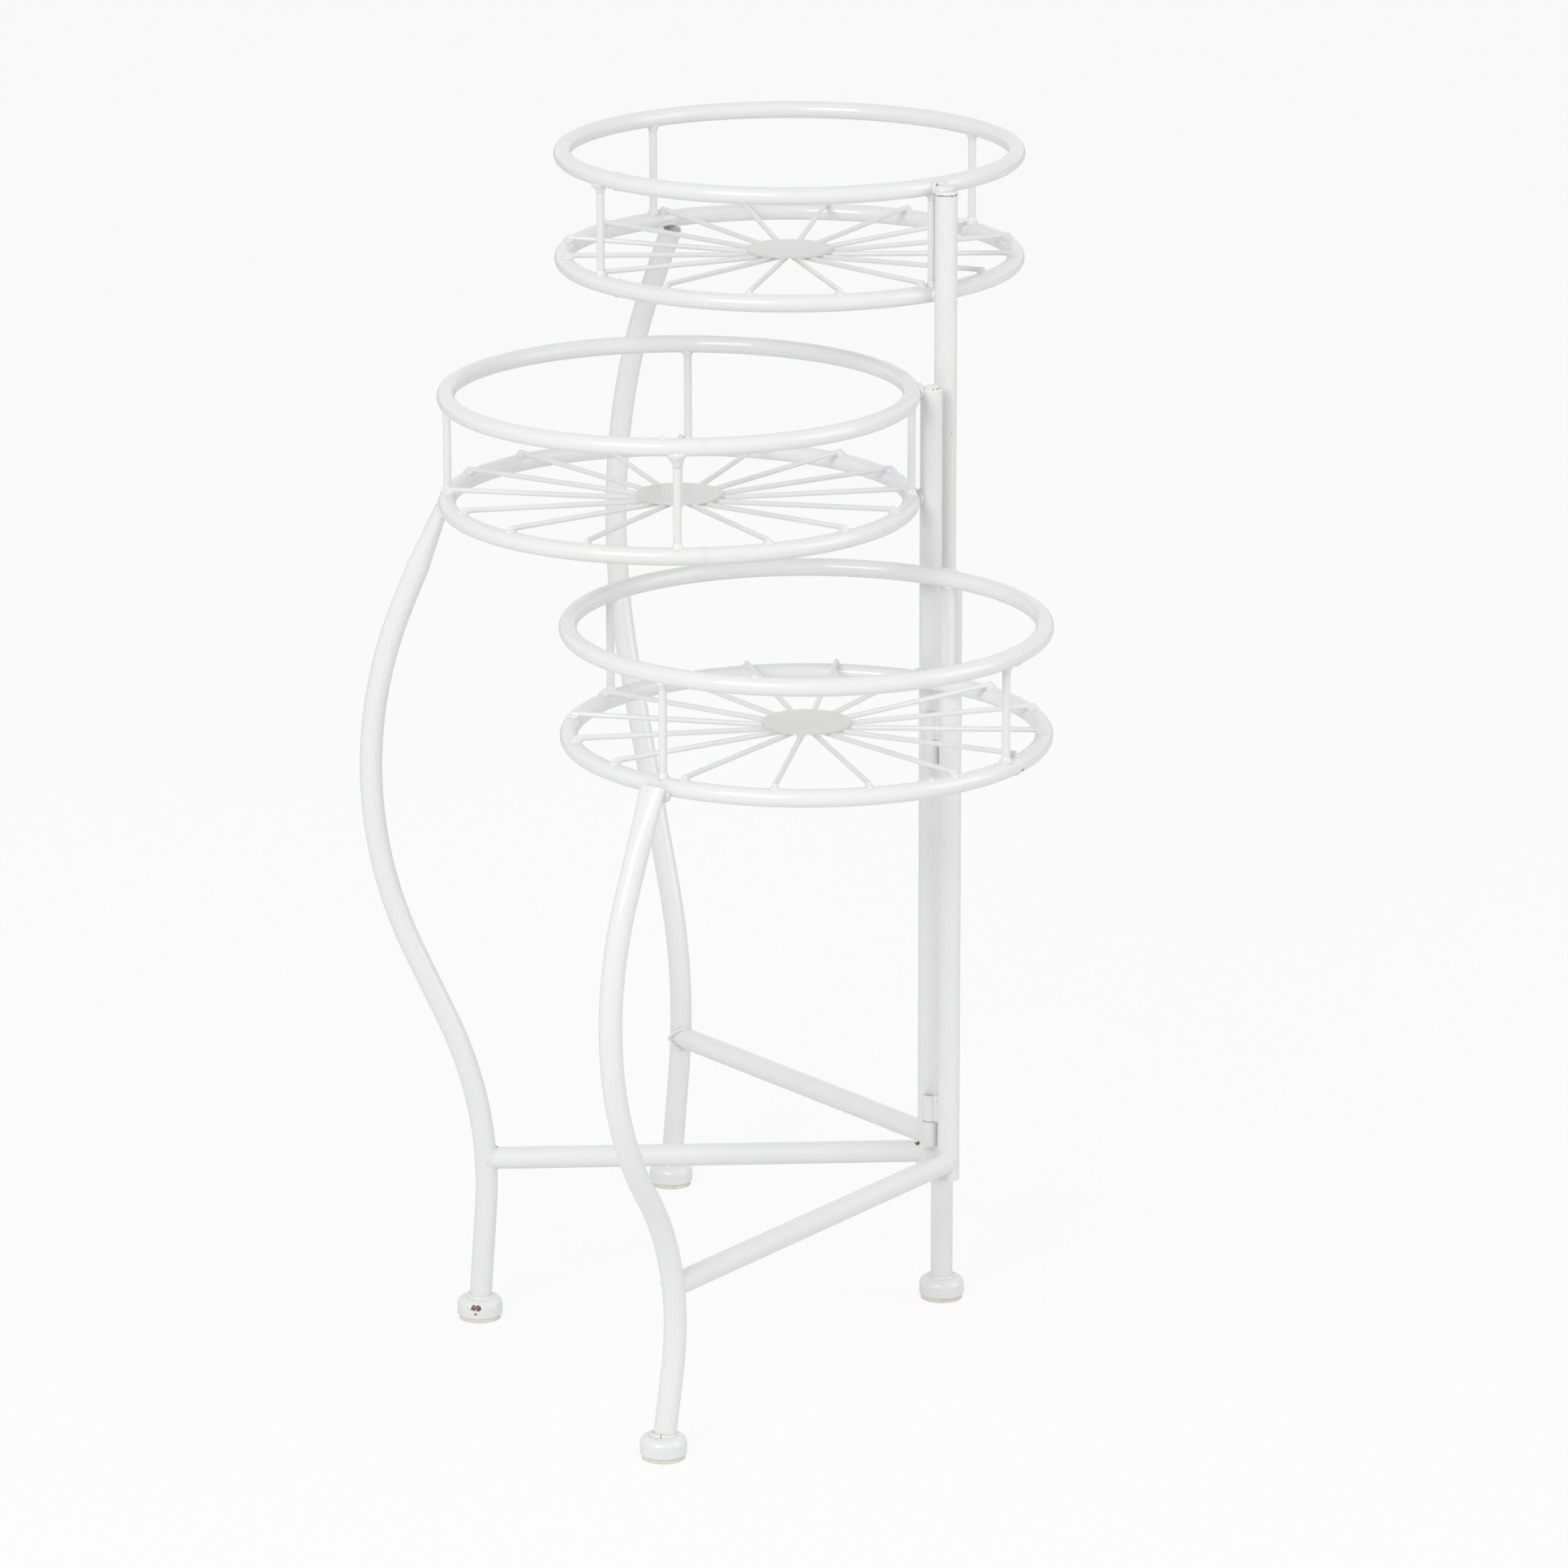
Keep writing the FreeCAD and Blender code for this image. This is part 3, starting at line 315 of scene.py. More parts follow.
class Nodes:
    """A short way to build one node material."""

    def __init__(self, name):
        self.material = bpy.data.materials.new(name)
        self.material.use_nodes = True
        self.tree = self.material.node_tree
        self.shader = self.tree.nodes["Principled BSDF"]
        self.place = self.new("ShaderNodeTexCoord").outputs["Object"]

    def new(self, kind, **settings):
        node = self.tree.nodes.new(kind)
        for key, value in settings.items():
            setattr(node, key, value)
        return node

    def link(self, source, target):
        self.tree.links.new(source, target)

    def noise(self, per_metre, detail, roughness=0.5):
        node = self.new("ShaderNodeTexNoise")
        node.inputs["Scale"].default_value = per_metre
        node.inputs["Detail"].default_value = detail
        node.inputs["Roughness"].default_value = roughness
        self.link(self.place, node.inputs["Vector"])
        return node.outputs["Fac"]

    def ramp(self, value, low, high, low_to=0.0, high_to=1.0):
        """Map low..high onto low_to..high_to, smoothly and clamped."""
        node = self.new("ShaderNodeMapRange", interpolation_type="SMOOTHSTEP")
        self.link(value, node.inputs["Value"])
        node.inputs["From Min"].default_value = low
        node.inputs["From Max"].default_value = high
        node.inputs["To Min"].default_value = low_to
        node.inputs["To Max"].default_value = high_to
        return node.outputs["Result"]

    def patches(self, kind, low_to=0.0, high_to=1.0):
        """A value that is low_to in most places and comes up to high_to in patches."""
        noise_value = self.noise(kind.per_metre, kind.detail, kind.roughness)
        return self.ramp(noise_value, kind.low, kind.high, low_to, high_to)

    def maths(self, operation, first, second):
        node = self.new("ShaderNodeMath", operation=operation)
        for socket, value in zip(node.inputs, (first, second)):
            if isinstance(value, (int, float)):
                socket.default_value = value
            else:
                self.link(value, socket)
        return node.outputs["Value"]

    def mix(self, amount, first, second):
        """Blend two colours by an amount."""
        node = self.new("ShaderNodeMix", data_type="RGBA")
        self.link(amount, node.inputs["Factor"])
        for socket, value in ((MIX_FIRST, first), (MIX_SECOND, second)):
            if isinstance(value, tuple):
                node.inputs[socket].default_value = value + (1.0,)
            else:
                self.link(value, node.inputs[socket])
        return node.outputs[MIX_RESULT]

    def near(self, point, radius, wander):
        """1 inside a ragged patch round a point, 0 outside; its edge wanders by a share."""
        gap = self.new("ShaderNodeVectorMath", operation="DISTANCE")
        self.link(self.place, gap.inputs[0])
        gap.inputs[1].default_value = point
        edge = self.patches(RAGGED_EDGE, -(wander * radius), wander * radius)
        distance = self.maths("ADD", gap.outputs["Value"], edge)
        return self.ramp(distance, FADE_FROM * radius, radius, 1.0, 0.0)

    def bump(self, height, strength, depth, after=None):
        node = self.new("ShaderNodeBump")
        node.inputs["Strength"].default_value = strength
        node.inputs["Distance"].default_value = depth
        self.link(height, node.inputs["Height"])
        if after is not None:
            self.link(after, node.inputs["Normal"])
        return node.outputs["Normal"]

    def relief(self, kind, after=None):
        height = self.noise(kind.per_metre, kind.detail)
        return self.bump(height, kind.strength, kind.depth, after)

    def finished(self, colour, roughness, surface):
        """The material, with these as its colour, roughness and surface relief."""
        self.link(colour, self.shader.inputs["Base Color"])
        self.link(roughness, self.shader.inputs["Roughness"])
        self.link(surface, self.shader.inputs["Normal"])
        return self.material


PAINT = (0.80, 0.805, 0.80)
PAINT_THIN = (0.765, 0.775, 0.775)
PAINT_YELLOWED = (0.79, 0.785, 0.735)
WIRE_PAINT = (0.785, 0.79, 0.785)
# The disc plates' paint is darker than the tube paint: painted shade, for disc tops that face away
# from the frontal lamps.
SHADED_PLATE_PAINT = (0.70, 0.70, 0.69)
WELD_PAINT = (0.79, 0.79, 0.785)
HINGE_PAINT = (0.77, 0.775, 0.77)
FOOT_PAINT = (0.79, 0.795, 0.795)
# Dark colour of bare steel in the chips; the same colour draws the dots and lines of painted shade
# at some joints and welds.
BARE_STEEL_AND_SHADE = (0.055, 0.05, 0.05)
RUST = (0.20, 0.10, 0.05)

THIN_SHARE = 0.35
YELLOW_SHARE = 0.25
DULLER = 0.04
BARE_DULLER = 0.3
COAT_WEIGHT = 0.4
COAT_ROUGHNESS = 0.07
PEEL_PER_METRE = 650.0
PEEL_DETAIL = 2.0
PEEL_DEPTH = 0.03 * MM
CHIP_STEP = 0.5
CHIP_DEPTH = 0.12 * MM


def paint_colour(build, colour, stains):
    """Colour of a paint that is thinner or yellowed in places, with stains on it."""
    thin = build.maths("MULTIPLY", build.patches(THIN_PLACES), THIN_SHARE)
    shade = build.mix(thin, colour, PAINT_THIN)
    yellow = build.maths("MULTIPLY", build.patches(YELLOW_PLACES), YELLOW_SHARE)
    shade = build.mix(yellow, shade, PAINT_YELLOWED)
    for point, radius, tint, strength in stains:
        patch = build.near(point, radius, STAIN_WANDERS)
        shade = build.mix(build.maths("MULTIPLY", patch, strength), shade, tint)
    return shade


def bare_and_shade_places(build, chips_and_shade):
    """1 where the paint has chipped off and where dots of painted shade are drawn, 0 elsewhere."""
    bare_and_shade = 0.0
    for point, radius in chips_and_shade:
        bare_and_shade = build.maths("MAXIMUM", bare_and_shade, build.near(point, radius, CHIP_WANDERS))
    return bare_and_shade


def make_paint(name, colour, roughness, peel, chips_and_shade=(), stains=()):
    """Gloss paint on metal, with faint orange peel, uneven tone, stains, and chips, some of which
    draw dark dots of painted shade.
    """
    build = Nodes(name)
    shade = paint_colour(build, colour, stains)
    gloss = build.patches(DULL_PLACES, roughness, roughness + DULLER)
    fine = build.bump(build.noise(PEEL_PER_METRE, PEEL_DETAIL), peel, PEEL_DEPTH)
    surface = build.relief(WAVY_PAINT, fine)
    if chips_and_shade:
        bare_and_shade = bare_and_shade_places(build, chips_and_shade)
        # The chip colour, which also paints the dark dots of painted shade.
        chip_and_shade_colour = build.mix(build.patches(RUSTY_PLACES), BARE_STEEL_AND_SHADE, RUST)
        shade = build.mix(bare_and_shade, shade, chip_and_shade_colour)
        gloss = build.maths("ADD", gloss, build.maths("MULTIPLY", bare_and_shade, BARE_DULLER))
        surface = build.bump(build.maths("SUBTRACT", 1.0, bare_and_shade), CHIP_STEP, CHIP_DEPTH, surface)
    build.shader.inputs["Coat Weight"].default_value = COAT_WEIGHT
    build.shader.inputs["Coat Roughness"].default_value = COAT_ROUGHNESS
    return build.finished(shade, gloss, surface)


STEEL_DARK = (0.42, 0.47, 0.53)
STEEL_LIGHT = (0.56, 0.62, 0.69)
STEEL_METALLIC = 0.7
MARKS_PER_METRE = 2400.0
MARKS_DETAIL = 1.0
MARKS_STRENGTH = 0.3
MARKS_DEPTH = 0.05 * MM


def make_steel(name):
    """Zinc-plated steel of the hinge pins, bluish and finely mottled."""
    build = Nodes(name)
    marks = build.noise(MARKS_PER_METRE, MARKS_DETAIL)
    shade = build.mix(marks, STEEL_DARK, STEEL_LIGHT)
    gloss = build.ramp(marks, 0.3, 0.7, low_to=0.3, high_to=0.5)
    surface = build.bump(marks, MARKS_STRENGTH, MARKS_DEPTH)
    build.shader.inputs["Metallic"].default_value = STEEL_METALLIC
    return build.finished(shade, gloss, surface)


PAD_CREAM = (0.76, 0.735, 0.65)
PAD_SCUFFED = (0.64, 0.62, 0.55)


def make_pad(name):
    """Cream floor pad: matt, scuffed duller and greyer in patches."""
    build = Nodes(name)
    scuff = build.patches(SCUFFS)
    shade = build.mix(scuff, PAD_CREAM, PAD_SCUFFED)
    gloss = build.ramp(scuff, 0.0, 1.0, low_to=0.55, high_to=0.75)
    return build.finished(shade, gloss, build.relief(PAD_GRAIN))


# ---------------------------------------------------------------------------
# Worn places and the paints that have them
# ---------------------------------------------------------------------------

# An arc of dark dots, drawn as chips: how far they wander off it in millimetres, how much their
# size follows the wandering, and the length and place of the noise that says so.
ARC_WANDERS = 0.5
ARC_UNEVEN = 0.4
ARC_LUMP = 1.7
ARC_NOISE_Z = 0.3


def at(x, y, z):
    """A place on the stand, given in millimetres."""
    return (x * MM, y * MM, z * MM)


def arc_of_dark_dots(centre, reach, first, last, count, size):
    """Dark dots along an arc round an upright axis, drawn as chips, that make a ragged dark line;
    mm and degrees.
    """
    chips_and_shade = []
    x, y, z = centre
    for number in range(count):
        angle = math.radians(first + (last - first) * number / (count - 1))
        noise_place = Vector((number, x * MM, ARC_NOISE_Z))
        wander = ARC_WANDERS * lumpiness(noise_place, ARC_LUMP)
        place = at(x + reach * math.cos(angle), y + reach * math.sin(angle), z + wander)
        chips_and_shade.append((place, size * (1 + ARC_UNEVEN * wander) * MM))
    return tuple(chips_and_shade)


# Dots of painted shade, drawn as chips: one beside the middle post where a stretcher joins it, and
# those in the corners of leg and stretcher; how large they are, and how far in front of the tubes'
# middle they lie.
POST_JOINT_SHADE = (at(-16.0, -23.8, 102.4), 1.5 * MM)
JOINT_SHADE_DOT = 1.1 * MM
JOINT_SHADE_FORWARD = 0.5 * MM


def joint_shade_dots():
    """Dots of painted shade in the corners above and below the joints of leg and stretcher, and
    one beside a post.
    """
    chips_and_shade = [POST_JOINT_SHADE]
    for name in ("middle", "low"):
        leaf = leaves[name]
        joint = leaf["post"] + leaf["leg_way"] * (leaf["leg_out"] - POST_RADIUS)
        for sign in (-1, 1):
            corner = joint + UP * (leaf["stretcher"] + sign * POST_RADIUS)
            chips_and_shade.append((tuple(corner - leaf["side"] * JOINT_SHADE_FORWARD), JOINT_SHADE_DOT))
    return tuple(chips_and_shade)


CREAM = (0.80, 0.785, 0.71)
BROWN = (0.34, 0.22, 0.13)
BLUISH = (0.55, 0.60, 0.68)

# Chips, and dots of painted shade drawn as chips, are (place, radius); stains are (place, radius,
# colour, strength).
POST_STAINS = (
    (at(3.5, -6.0, 518), 1.0 * MM, BROWN, 0.8),
    (at(3.0, -6.0, 545), 13 * MM, CREAM, 0.3),
    (at(3.0, -6.0, 518), 14 * MM, CREAM, 0.35),
    (at(3.0, -6.0, 492), 13 * MM, CREAM, 0.3),
)
RING_CHIPS = ((at(26.9, -225.7, 382.3), 1.3 * MM),)
WIRE_CHIPS = ((at(-25.0, 24.5, 490.6), 1.3 * MM),)
WIRE_STAINS = ((at(-31.5, 21.0, 490.6), 4 * MM, BLUISH, 0.4),)
# Dark marks on the middle post's cap, drawn as chips: two dots by the ring's weld and a ragged
# dark line.
CAP_DARK_MARKS = (
    (at(-14.9, -20.2, 547.8), 0.8 * MM),
    (at(-14.2, -24.4, 547.2), 0.8 * MM),
) + arc_of_dark_dots((-9.301, -20.6, 548.6), reach=5.2, first=-80, last=-20, count=6, size=0.6)
FOOT_CHIPS = (
    (at(-273.0, -33.1, 9.7), 1.9 * MM),
    (at(-270.4, -33.4, 9.5), 1.9 * MM),
    (at(-272.0, -33.3, 6.0), 0.9 * MM),
)
# Painted shade: a ragged dark line for the gap along the front of a leg's weld collar at its foot
# cup.
FOOT_WELD_GAP_SHADE = arc_of_dark_dots(
    (-169.6, -250.6, 13.9), reach=7.6, first=-150, last=-95, count=9, size=1.0)
# Painted shade: a ragged dark line for the gaps along the front of the weld on top of the tall
# post.
TOP_WELD_GAP_SHADE = arc_of_dark_dots(
    (0, 0, 654.3), reach=6.8, first=-175, last=-5, count=16, size=0.62)

post_paint = make_paint("post_paint", PAINT, roughness=0.24, peel=0.25, stains=POST_STAINS)
# Tube paint carries the dots of painted shade in the corners of leg and stretcher.
tube_paint = make_paint("tube_paint", PAINT, roughness=0.22, peel=0.25, chips_and_shade=joint_shade_dots())
ring_paint = make_paint("ring_paint", PAINT, roughness=0.22, peel=0.22, chips_and_shade=RING_CHIPS)
wire_paint = make_paint("wire_paint", WIRE_PAINT, roughness=0.28, peel=0.3,
                        chips_and_shade=WIRE_CHIPS, stains=WIRE_STAINS)
# Disc plate paint, darker than the rest: painted shade on the disc tops.
shaded_plate_paint = make_paint("shaded_plate_paint", SHADED_PLATE_PAINT, roughness=0.38, peel=0.3)
# Weld paint carries the same dots of painted shade at the joints.
weld_paint = make_paint("weld_paint", WELD_PAINT, roughness=0.26, peel=0.35,
                        chips_and_shade=joint_shade_dots())
cap_paint = make_paint("cap_paint", PAINT, roughness=0.24, peel=0.25, chips_and_shade=CAP_DARK_MARKS)
hinge_paint = make_paint("hinge_paint", HINGE_PAINT, roughness=0.28, peel=0.3)
foot_paint = make_paint("foot_paint", FOOT_PAINT, roughness=0.26, peel=0.3, chips_and_shade=FOOT_CHIPS)
# Foot weld paint carries the painted shade of the gap at the collar.
foot_weld_paint = make_paint("foot_weld_paint", WELD_PAINT, roughness=0.26, peel=0.35,
                             chips_and_shade=FOOT_WELD_GAP_SHADE)
# Top weld paint carries the painted shade of the gaps along the post's top weld.
top_weld_paint = make_paint("top_weld_paint", WELD_PAINT, roughness=0.26, peel=0.35,
                            chips_and_shade=TOP_WELD_GAP_SHADE)
pin_steel = make_steel("pin_steel")
pad_cream = make_pad("pad_cream")

NODE_MATERIALS = {
    "post": post_paint,
    "leg": tube_paint,
    "stretcher": tube_paint,
    "ring": ring_paint,
    "struts": wire_paint,
    "spokes": wire_paint,
    "disc": shaded_plate_paint,
    "cap": cap_paint,
    "foot": foot_paint,
    "pad": pad_cream,
    "barrel": hinge_paint,
    "pin": pin_steel,
}


def dress_nodes():
    """Give every CAD node its material, by the last word of its name."""
    for name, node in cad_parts.items():
        node.data.materials.clear()
        node.data.materials.append(NODE_MATERIALS[name.split("_")[-1]])


# ---------------------------------------------------------------------------
# Shapes of welds
# ---------------------------------------------------------------------------

STEPS = 48
POST_WELD = 1.3 * MM
STRETCHER_WELD = 0.8 * MM
LEG_WELD = 1.0 * MM
FOOT_WELD = 1.4 * MM
SEAM_WELD = 0.55 * MM

# The weld between a ring and its post, as an oval on the post, and how many of its radii a
# lumpy bead can reach.
POST_OVAL_WIDE = 4.6 * MM
POST_OVAL_HIGH = 3.6 * MM
BEAD_REACH = 1.4

# The weld between a leg's end and its ring, as an oval on the ring: where it is round the ring's
# tube (0 points out of the basket, 90 degrees up), its half-height round the tube, its half-width.
LEG_OVALS = {
    "tall": (math.radians(-112), 3.6 * MM, 6.6 * MM),
    "middle": (math.radians(-58), 4.2 * MM, 8.6 * MM),
    "low": (math.radians(-16), 3.2 * MM, 7.2 * MM),
}
LEG_OVAL_OFF = 0.2 * MM

# The weld metal that fills the corner between a flattened leg end and its ring: where it is round
# the ring's tube, how far off it, and its half-axes along the ring, off it and round it.
LEG_FILLS = {
    "middle": (math.radians(-62), 0.8 * MM, (8.6 * MM, 4.2 * MM, 4.6 * MM)),
    "low": (math.radians(-35), 1.2 * MM, (8.4 * MM, 4.0 * MM, 6.0 * MM)),
}
FILL_LUMPS = 0.1
FILL_DETAIL = 4

# A strut's weld from bottom to top: height over its full height, spread over its full spread.
FLARE_PROFILE = ((-0.45, 1.1), (-0.15, 1.15), (0.05, 0.95), (0.2, 0.66),
                 (0.4, 0.4), (0.65, 0.16), (1.0, 0.0))
FLARE_SIDES = 2 * BEAD_SIDES
FLARE_INSIDE = 0.97
FLARE_LUMPS = 0.3


def ring_point(leaf, angle, level):
    """A point on a ring's centre line, and the direction out of the ring there."""
    outward = Vector((math.cos(angle), math.sin(angle), 0))
    return leaf["centre"] + outward * leaf["ring_radius"] + UP * leaf[level], outward


def circle_path(centre, axis, radius):
    """A circle round an axis, as (point, outward) pairs."""
    across = axis.orthogonal().normalized()
    third = axis.cross(across)
    path = []
    for turn in turns(STEPS):
        outward = between(across, third, turn)
        path.append((centre + outward * radius, outward))
    return path


def sag(across, radius):
    """How far a round tube falls away at a small distance from where it is touched."""
    return across ** 2 / (2 * radius)


def weld_ring_to_post(mesh, leaf, level, top):
    """A bead round the spot where a ring touches its post, kept below a height."""
    contact = leaf["post"] + leaf["out"] * POST_RADIUS + UP * leaf[level]
    path = []
    for turn in turns(STEPS):
        across = POST_OVAL_WIDE * math.cos(turn)
        rise = min(POST_OVAL_HIGH * math.sin(turn), top - leaf[level])
        depth = (sag(rise, RING_TUBE) - sag(across, POST_RADIUS)) / 2
        point = contact + leaf["side"] * across + UP * rise + leaf["out"] * depth
        path.append((point, between(leaf["side"], UP, turn)))
    add_bead(mesh, path, POST_WELD)


def weld_tee(mesh, centre, along, radius):
    """A bead where a level tube meets an upright one; along points from it down the level one."""
    across = UP.cross(along)
    path = []
    for turn in turns(STEPS):
        tube = between(UP, across, turn)
        lean = abs(math.cos(turn))
        wall = (along * lean + across * math.sin(turn)).normalized()
        point = centre + tube * POST_RADIUS + along * (lean * POST_RADIUS)
        path.append((point, (tube + wall).normalized()))
    add_bead(mesh, path, radius)


def weld_flare(mesh, base, axis, wire, spread, height):
    """A weld that climbs from a ring onto a wire standing on it."""
    across = axis.orthogonal().normalized()
    third = axis.cross(across)
    rings = []
    for level, share in FLARE_PROFILE:
        middle = base + axis * (level * height)
        ring = []
        for turn in turns(FLARE_SIDES):
            direction = between(across, third, turn)
            lumps = 1 + FLARE_LUMPS * lumpiness(middle + direction * wire)
            radius = wire * FLARE_INSIDE + spread * share * lumps
            ring.append(mesh.verts.new(middle + direction * radius))
        rings.append(ring)
    for here, there in zip(rings, rings[1:]):
        join_rings(mesh, here, there)
    mesh.faces.new(rings[0][::-1])
    mesh.faces.new(rings[-1])


def weld_leg_oval(mesh, leaf):
    """A bead round the oval where a leg's end sits on its ring."""
    lean, half_height, half_width = LEG_OVALS[leaf["name"]]
    path = []
    for turn in turns(STEPS):
        angle = leaf["leg_angle"] + half_width * math.cos(turn) / leaf["ring_radius"]
        round_tube = lean + half_height * math.sin(turn) / RING_TUBE
        point, outward = ring_point(leaf, angle, "lower")
        surface = between(outward, UP, round_tube)
        path.append((point + surface * (RING_TUBE + LEG_OVAL_OFF), surface))
    add_bead(mesh, path, LEG_WELD)


def fill_leg_corner(mesh, leaf):
    """Weld metal in the corner between a flattened leg end and its ring."""
    lean, off, reach = LEG_FILLS[leaf["name"]]
    point, outward = ring_point(leaf, leaf["leg_angle"], "lower")
    surface = between(outward, UP, lean)
    along = UP.cross(outward)
    turn = axes_matrix(along, surface, along.cross(surface))
    place = point + surface * (RING_TUBE + off)
    add_blob(mesh, place, reach, turn, FILL_LUMPS, FILL_DETAIL)


# ---------------------------------------------------------------------------
# Welds of each leaf
# ---------------------------------------------------------------------------

# A strut's weld: its usual height and spread, the shares by which they differ, and over what
# distance.
FLARE_HEIGHT = 3.2 * MM
HEIGHT_VARIES = (0.35, 40 * MM)
FLARE_SPREAD = 1.3 * MM
SPREAD_VARIES = (0.4, 31 * MM)

# Struts whose upper weld is larger than the rest: leaf, direction, spread, height; and how close
# a strut's direction has to be to the one given.
BIG_FLARES = (
    ("middle", math.radians(-92.4), 3.4 * MM, 7.0 * MM),
    ("tall", math.radians(-147.7), 2.2 * MM, 4.5 * MM),
)
NEAR_TURN = math.radians(15)

# The welds of a floor wire, with half-axes outwards, along the ring and up. The bed lies between
# wire and ring, the lap over the wire's tip and the dab under the plate.
BED = (3.6 * MM, 2.5 * MM, 1.9 * MM)
BED_INWARDS = 0.8 * MM
BED_SUNK = 0.3 * MM
BED_LUMPS = 0.08
LAP = (3.6 * MM, 1.7 * MM, 1.5 * MM)
LAP_INWARDS = 2.2 * MM
LAP_RISE = 0.7 * SPOKE_RADIUS
LAP_LUMPS = 0.06
DAB = (2.6 * MM, 2.2 * MM, 0.8 * MM)
DAB_INWARDS = 1.6 * MM
DAB_SUNK = 0.6 * MM
SPOKE_WELD_VARIES = (0.2, 23 * MM)

# How far outside a tube the collar at its foot cup runs.
COLLAR_OFF = 0.5 * MM

# Where a ring's butt joint is, round the ring from the direction out of the post.
SEAM_TURN = math.radians(94)

# Weld spatter and run-out that stands on a ring's top: ring, direction, half-axes.
NUBS = {
    "middle": (("upper", math.radians(-96), (2.0 * MM, 2.6 * MM, 1.6 * MM)),),
    "low": (("upper", math.radians(-105), (1.6 * MM, 2.2 * MM, 1.4 * MM)),
            ("lower", math.radians(-62), (1.4 * MM, 1.8 * MM, 1.0 * MM))),
}
NUB_SUNK = 0.1 * MM
NUB_LUMPS = 0.25

# The weld on top of the tall post: a bead inside the cap's edge, and lumps, each given by how far
# out and how far above the cap's top it is, its half-axes and its unevenness.
TOP_BEAD = 1.7 * MM
TOP_BEAD_INSIDE = 1.0 * MM
TOP_BEAD_BELOW = 2.4 * MM
TOP_LUMPS = (
    (1.5 * MM, -0.8 * MM, (5.6 * MM, 5.0 * MM, 3.4 * MM), 0.16),
    (4.5 * MM, 2.2 * MM, (2.4 * MM, 2.0 * MM, 1.8 * MM), 0.2),
)

# The hinge barrels that each leaf's post carries, as (hinge, barrel).
HINGE_BARRELS = {
    "tall": (("back_hinge", "lower_barrel"),),
    "middle": (("back_hinge", "upper_barrel"), ("front_hinge", "lower_barrel")),
    "low": (("front_hinge", "upper_barrel"),),
}

# The dabs between barrel and post: half-axes towards the post, along its side and up, and how far
# they are sunk into the post, to each side, in from the barrel's ends and out of line.
HINGE_DAB = (1.5 * MM, 1.2 * MM, 1.9 * MM)
HINGE_DAB_LUMPS = 0.2
HINGE_DAB_SUNK = 0.2 * MM
HINGE_DAB_ASIDE = 2.4 * MM
HINGE_DAB_IN = 2.2 * MM
HINGE_DAB_STAGGER = 0.8 * MM


def make_post_welds(leaf):
    """Beads between a post, its two rings and its stretcher."""
    mesh = bmesh.new()
    for level in LEVELS:
        weld_ring_to_post(mesh, leaf, level, cad_box[1].z - POST_WELD * BEAD_REACH)
    centre = leaf["post"] + UP * leaf["stretcher"]
    weld_tee(mesh, centre, leaf["leg_way"], STRETCHER_WELD)
    piece_from(mesh, leaf["name"] + "_post_welds", leaf["body"], weld_paint)


def flare_size(leaf, angle, level, point):
    """Spread and height of one strut's weld."""
    if level == "upper":
        for name, way, spread, height in BIG_FLARES:
            turn = cmath.phase(cmath.rect(1, angle - way))
            if name == leaf["name"] and abs(turn) < NEAR_TURN:
                return spread, height
    height_share, height_scale = HEIGHT_VARIES
    spread_share, spread_scale = SPREAD_VARIES
    height = varied(FLARE_HEIGHT, height_share, point, height_scale)
    spread = varied(FLARE_SPREAD, spread_share, point, spread_scale)
    return spread, height


def make_strut_welds(leaf):
    """Flares at both ends of each strut."""
    mesh = bmesh.new()
    for angle in leaf["strut_angles"]:
        for level, axis in zip(LEVELS, (UP, -UP)):
            point = ring_point(leaf, angle, level)[0]
            spread, height = flare_size(leaf, angle, level, point)
            weld_flare(mesh, point + axis * RING_TUBE, axis, STRUT_RADIUS, spread, height)
    piece_from(mesh, leaf["name"] + "_strut_welds", leaf["body"], weld_paint)


def add_spoke_welds(mesh, leaf, angle, under_plate):
    """The bed, the lap and the dab of one floor wire."""
    point, outward = ring_point(leaf, angle, "lower")
    turn = axes_matrix(outward, UP.cross(outward), UP)
    share, scale = SPOKE_WELD_VARIES
    size = varied(1, share, point, scale)
    length, width, height = BED
    bed = point + UP * (RING_TUBE - BED_SUNK) - outward * BED_INWARDS
    add_blob(mesh, bed, (length, width * size, height * size), turn, BED_LUMPS)
    length, width, height = LAP
    lap = point + UP * (RING_TUBE + LAP_RISE) - outward * LAP_INWARDS
    add_blob(mesh, lap, (length * size, width, height), turn, LAP_LUMPS)
    dab = leaf["centre"] + outward * (DISC_RADIUS - DAB_INWARDS)
    dab.z = under_plate - DAB_SUNK
    add_blob(mesh, dab, [half_axis * size for half_axis in DAB], turn)


def make_spoke_welds(leaf):
    """Mounds that bed each floor wire on its ring, and dabs that fix it under the plate."""
    mesh = bmesh.new()
    under_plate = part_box(leaf["name"] + "_disc")[0].z
    for turn in turns(SPOKES):
        add_spoke_welds(mesh, leaf, leaf["spoke_angle"] + turn, under_plate)
    piece_from(mesh, leaf["name"] + "_spoke_welds", leaf["body"], weld_paint)


def make_leg_welds(leaf):
    """Beads between a leg, its ring and its stretcher."""
    mesh = bmesh.new()
    centre = leaf["post"] + leaf["leg_way"] * leaf["leg_out"] + UP * leaf["stretcher"]
    weld_tee(mesh, centre, -leaf["leg_way"], STRETCHER_WELD)
    weld_leg_oval(mesh, leaf)
    if leaf["name"] in LEG_FILLS:
        fill_leg_corner(mesh, leaf)
    piece_from(mesh, leaf["name"] + "_leg_welds", leaf["body"], weld_paint)


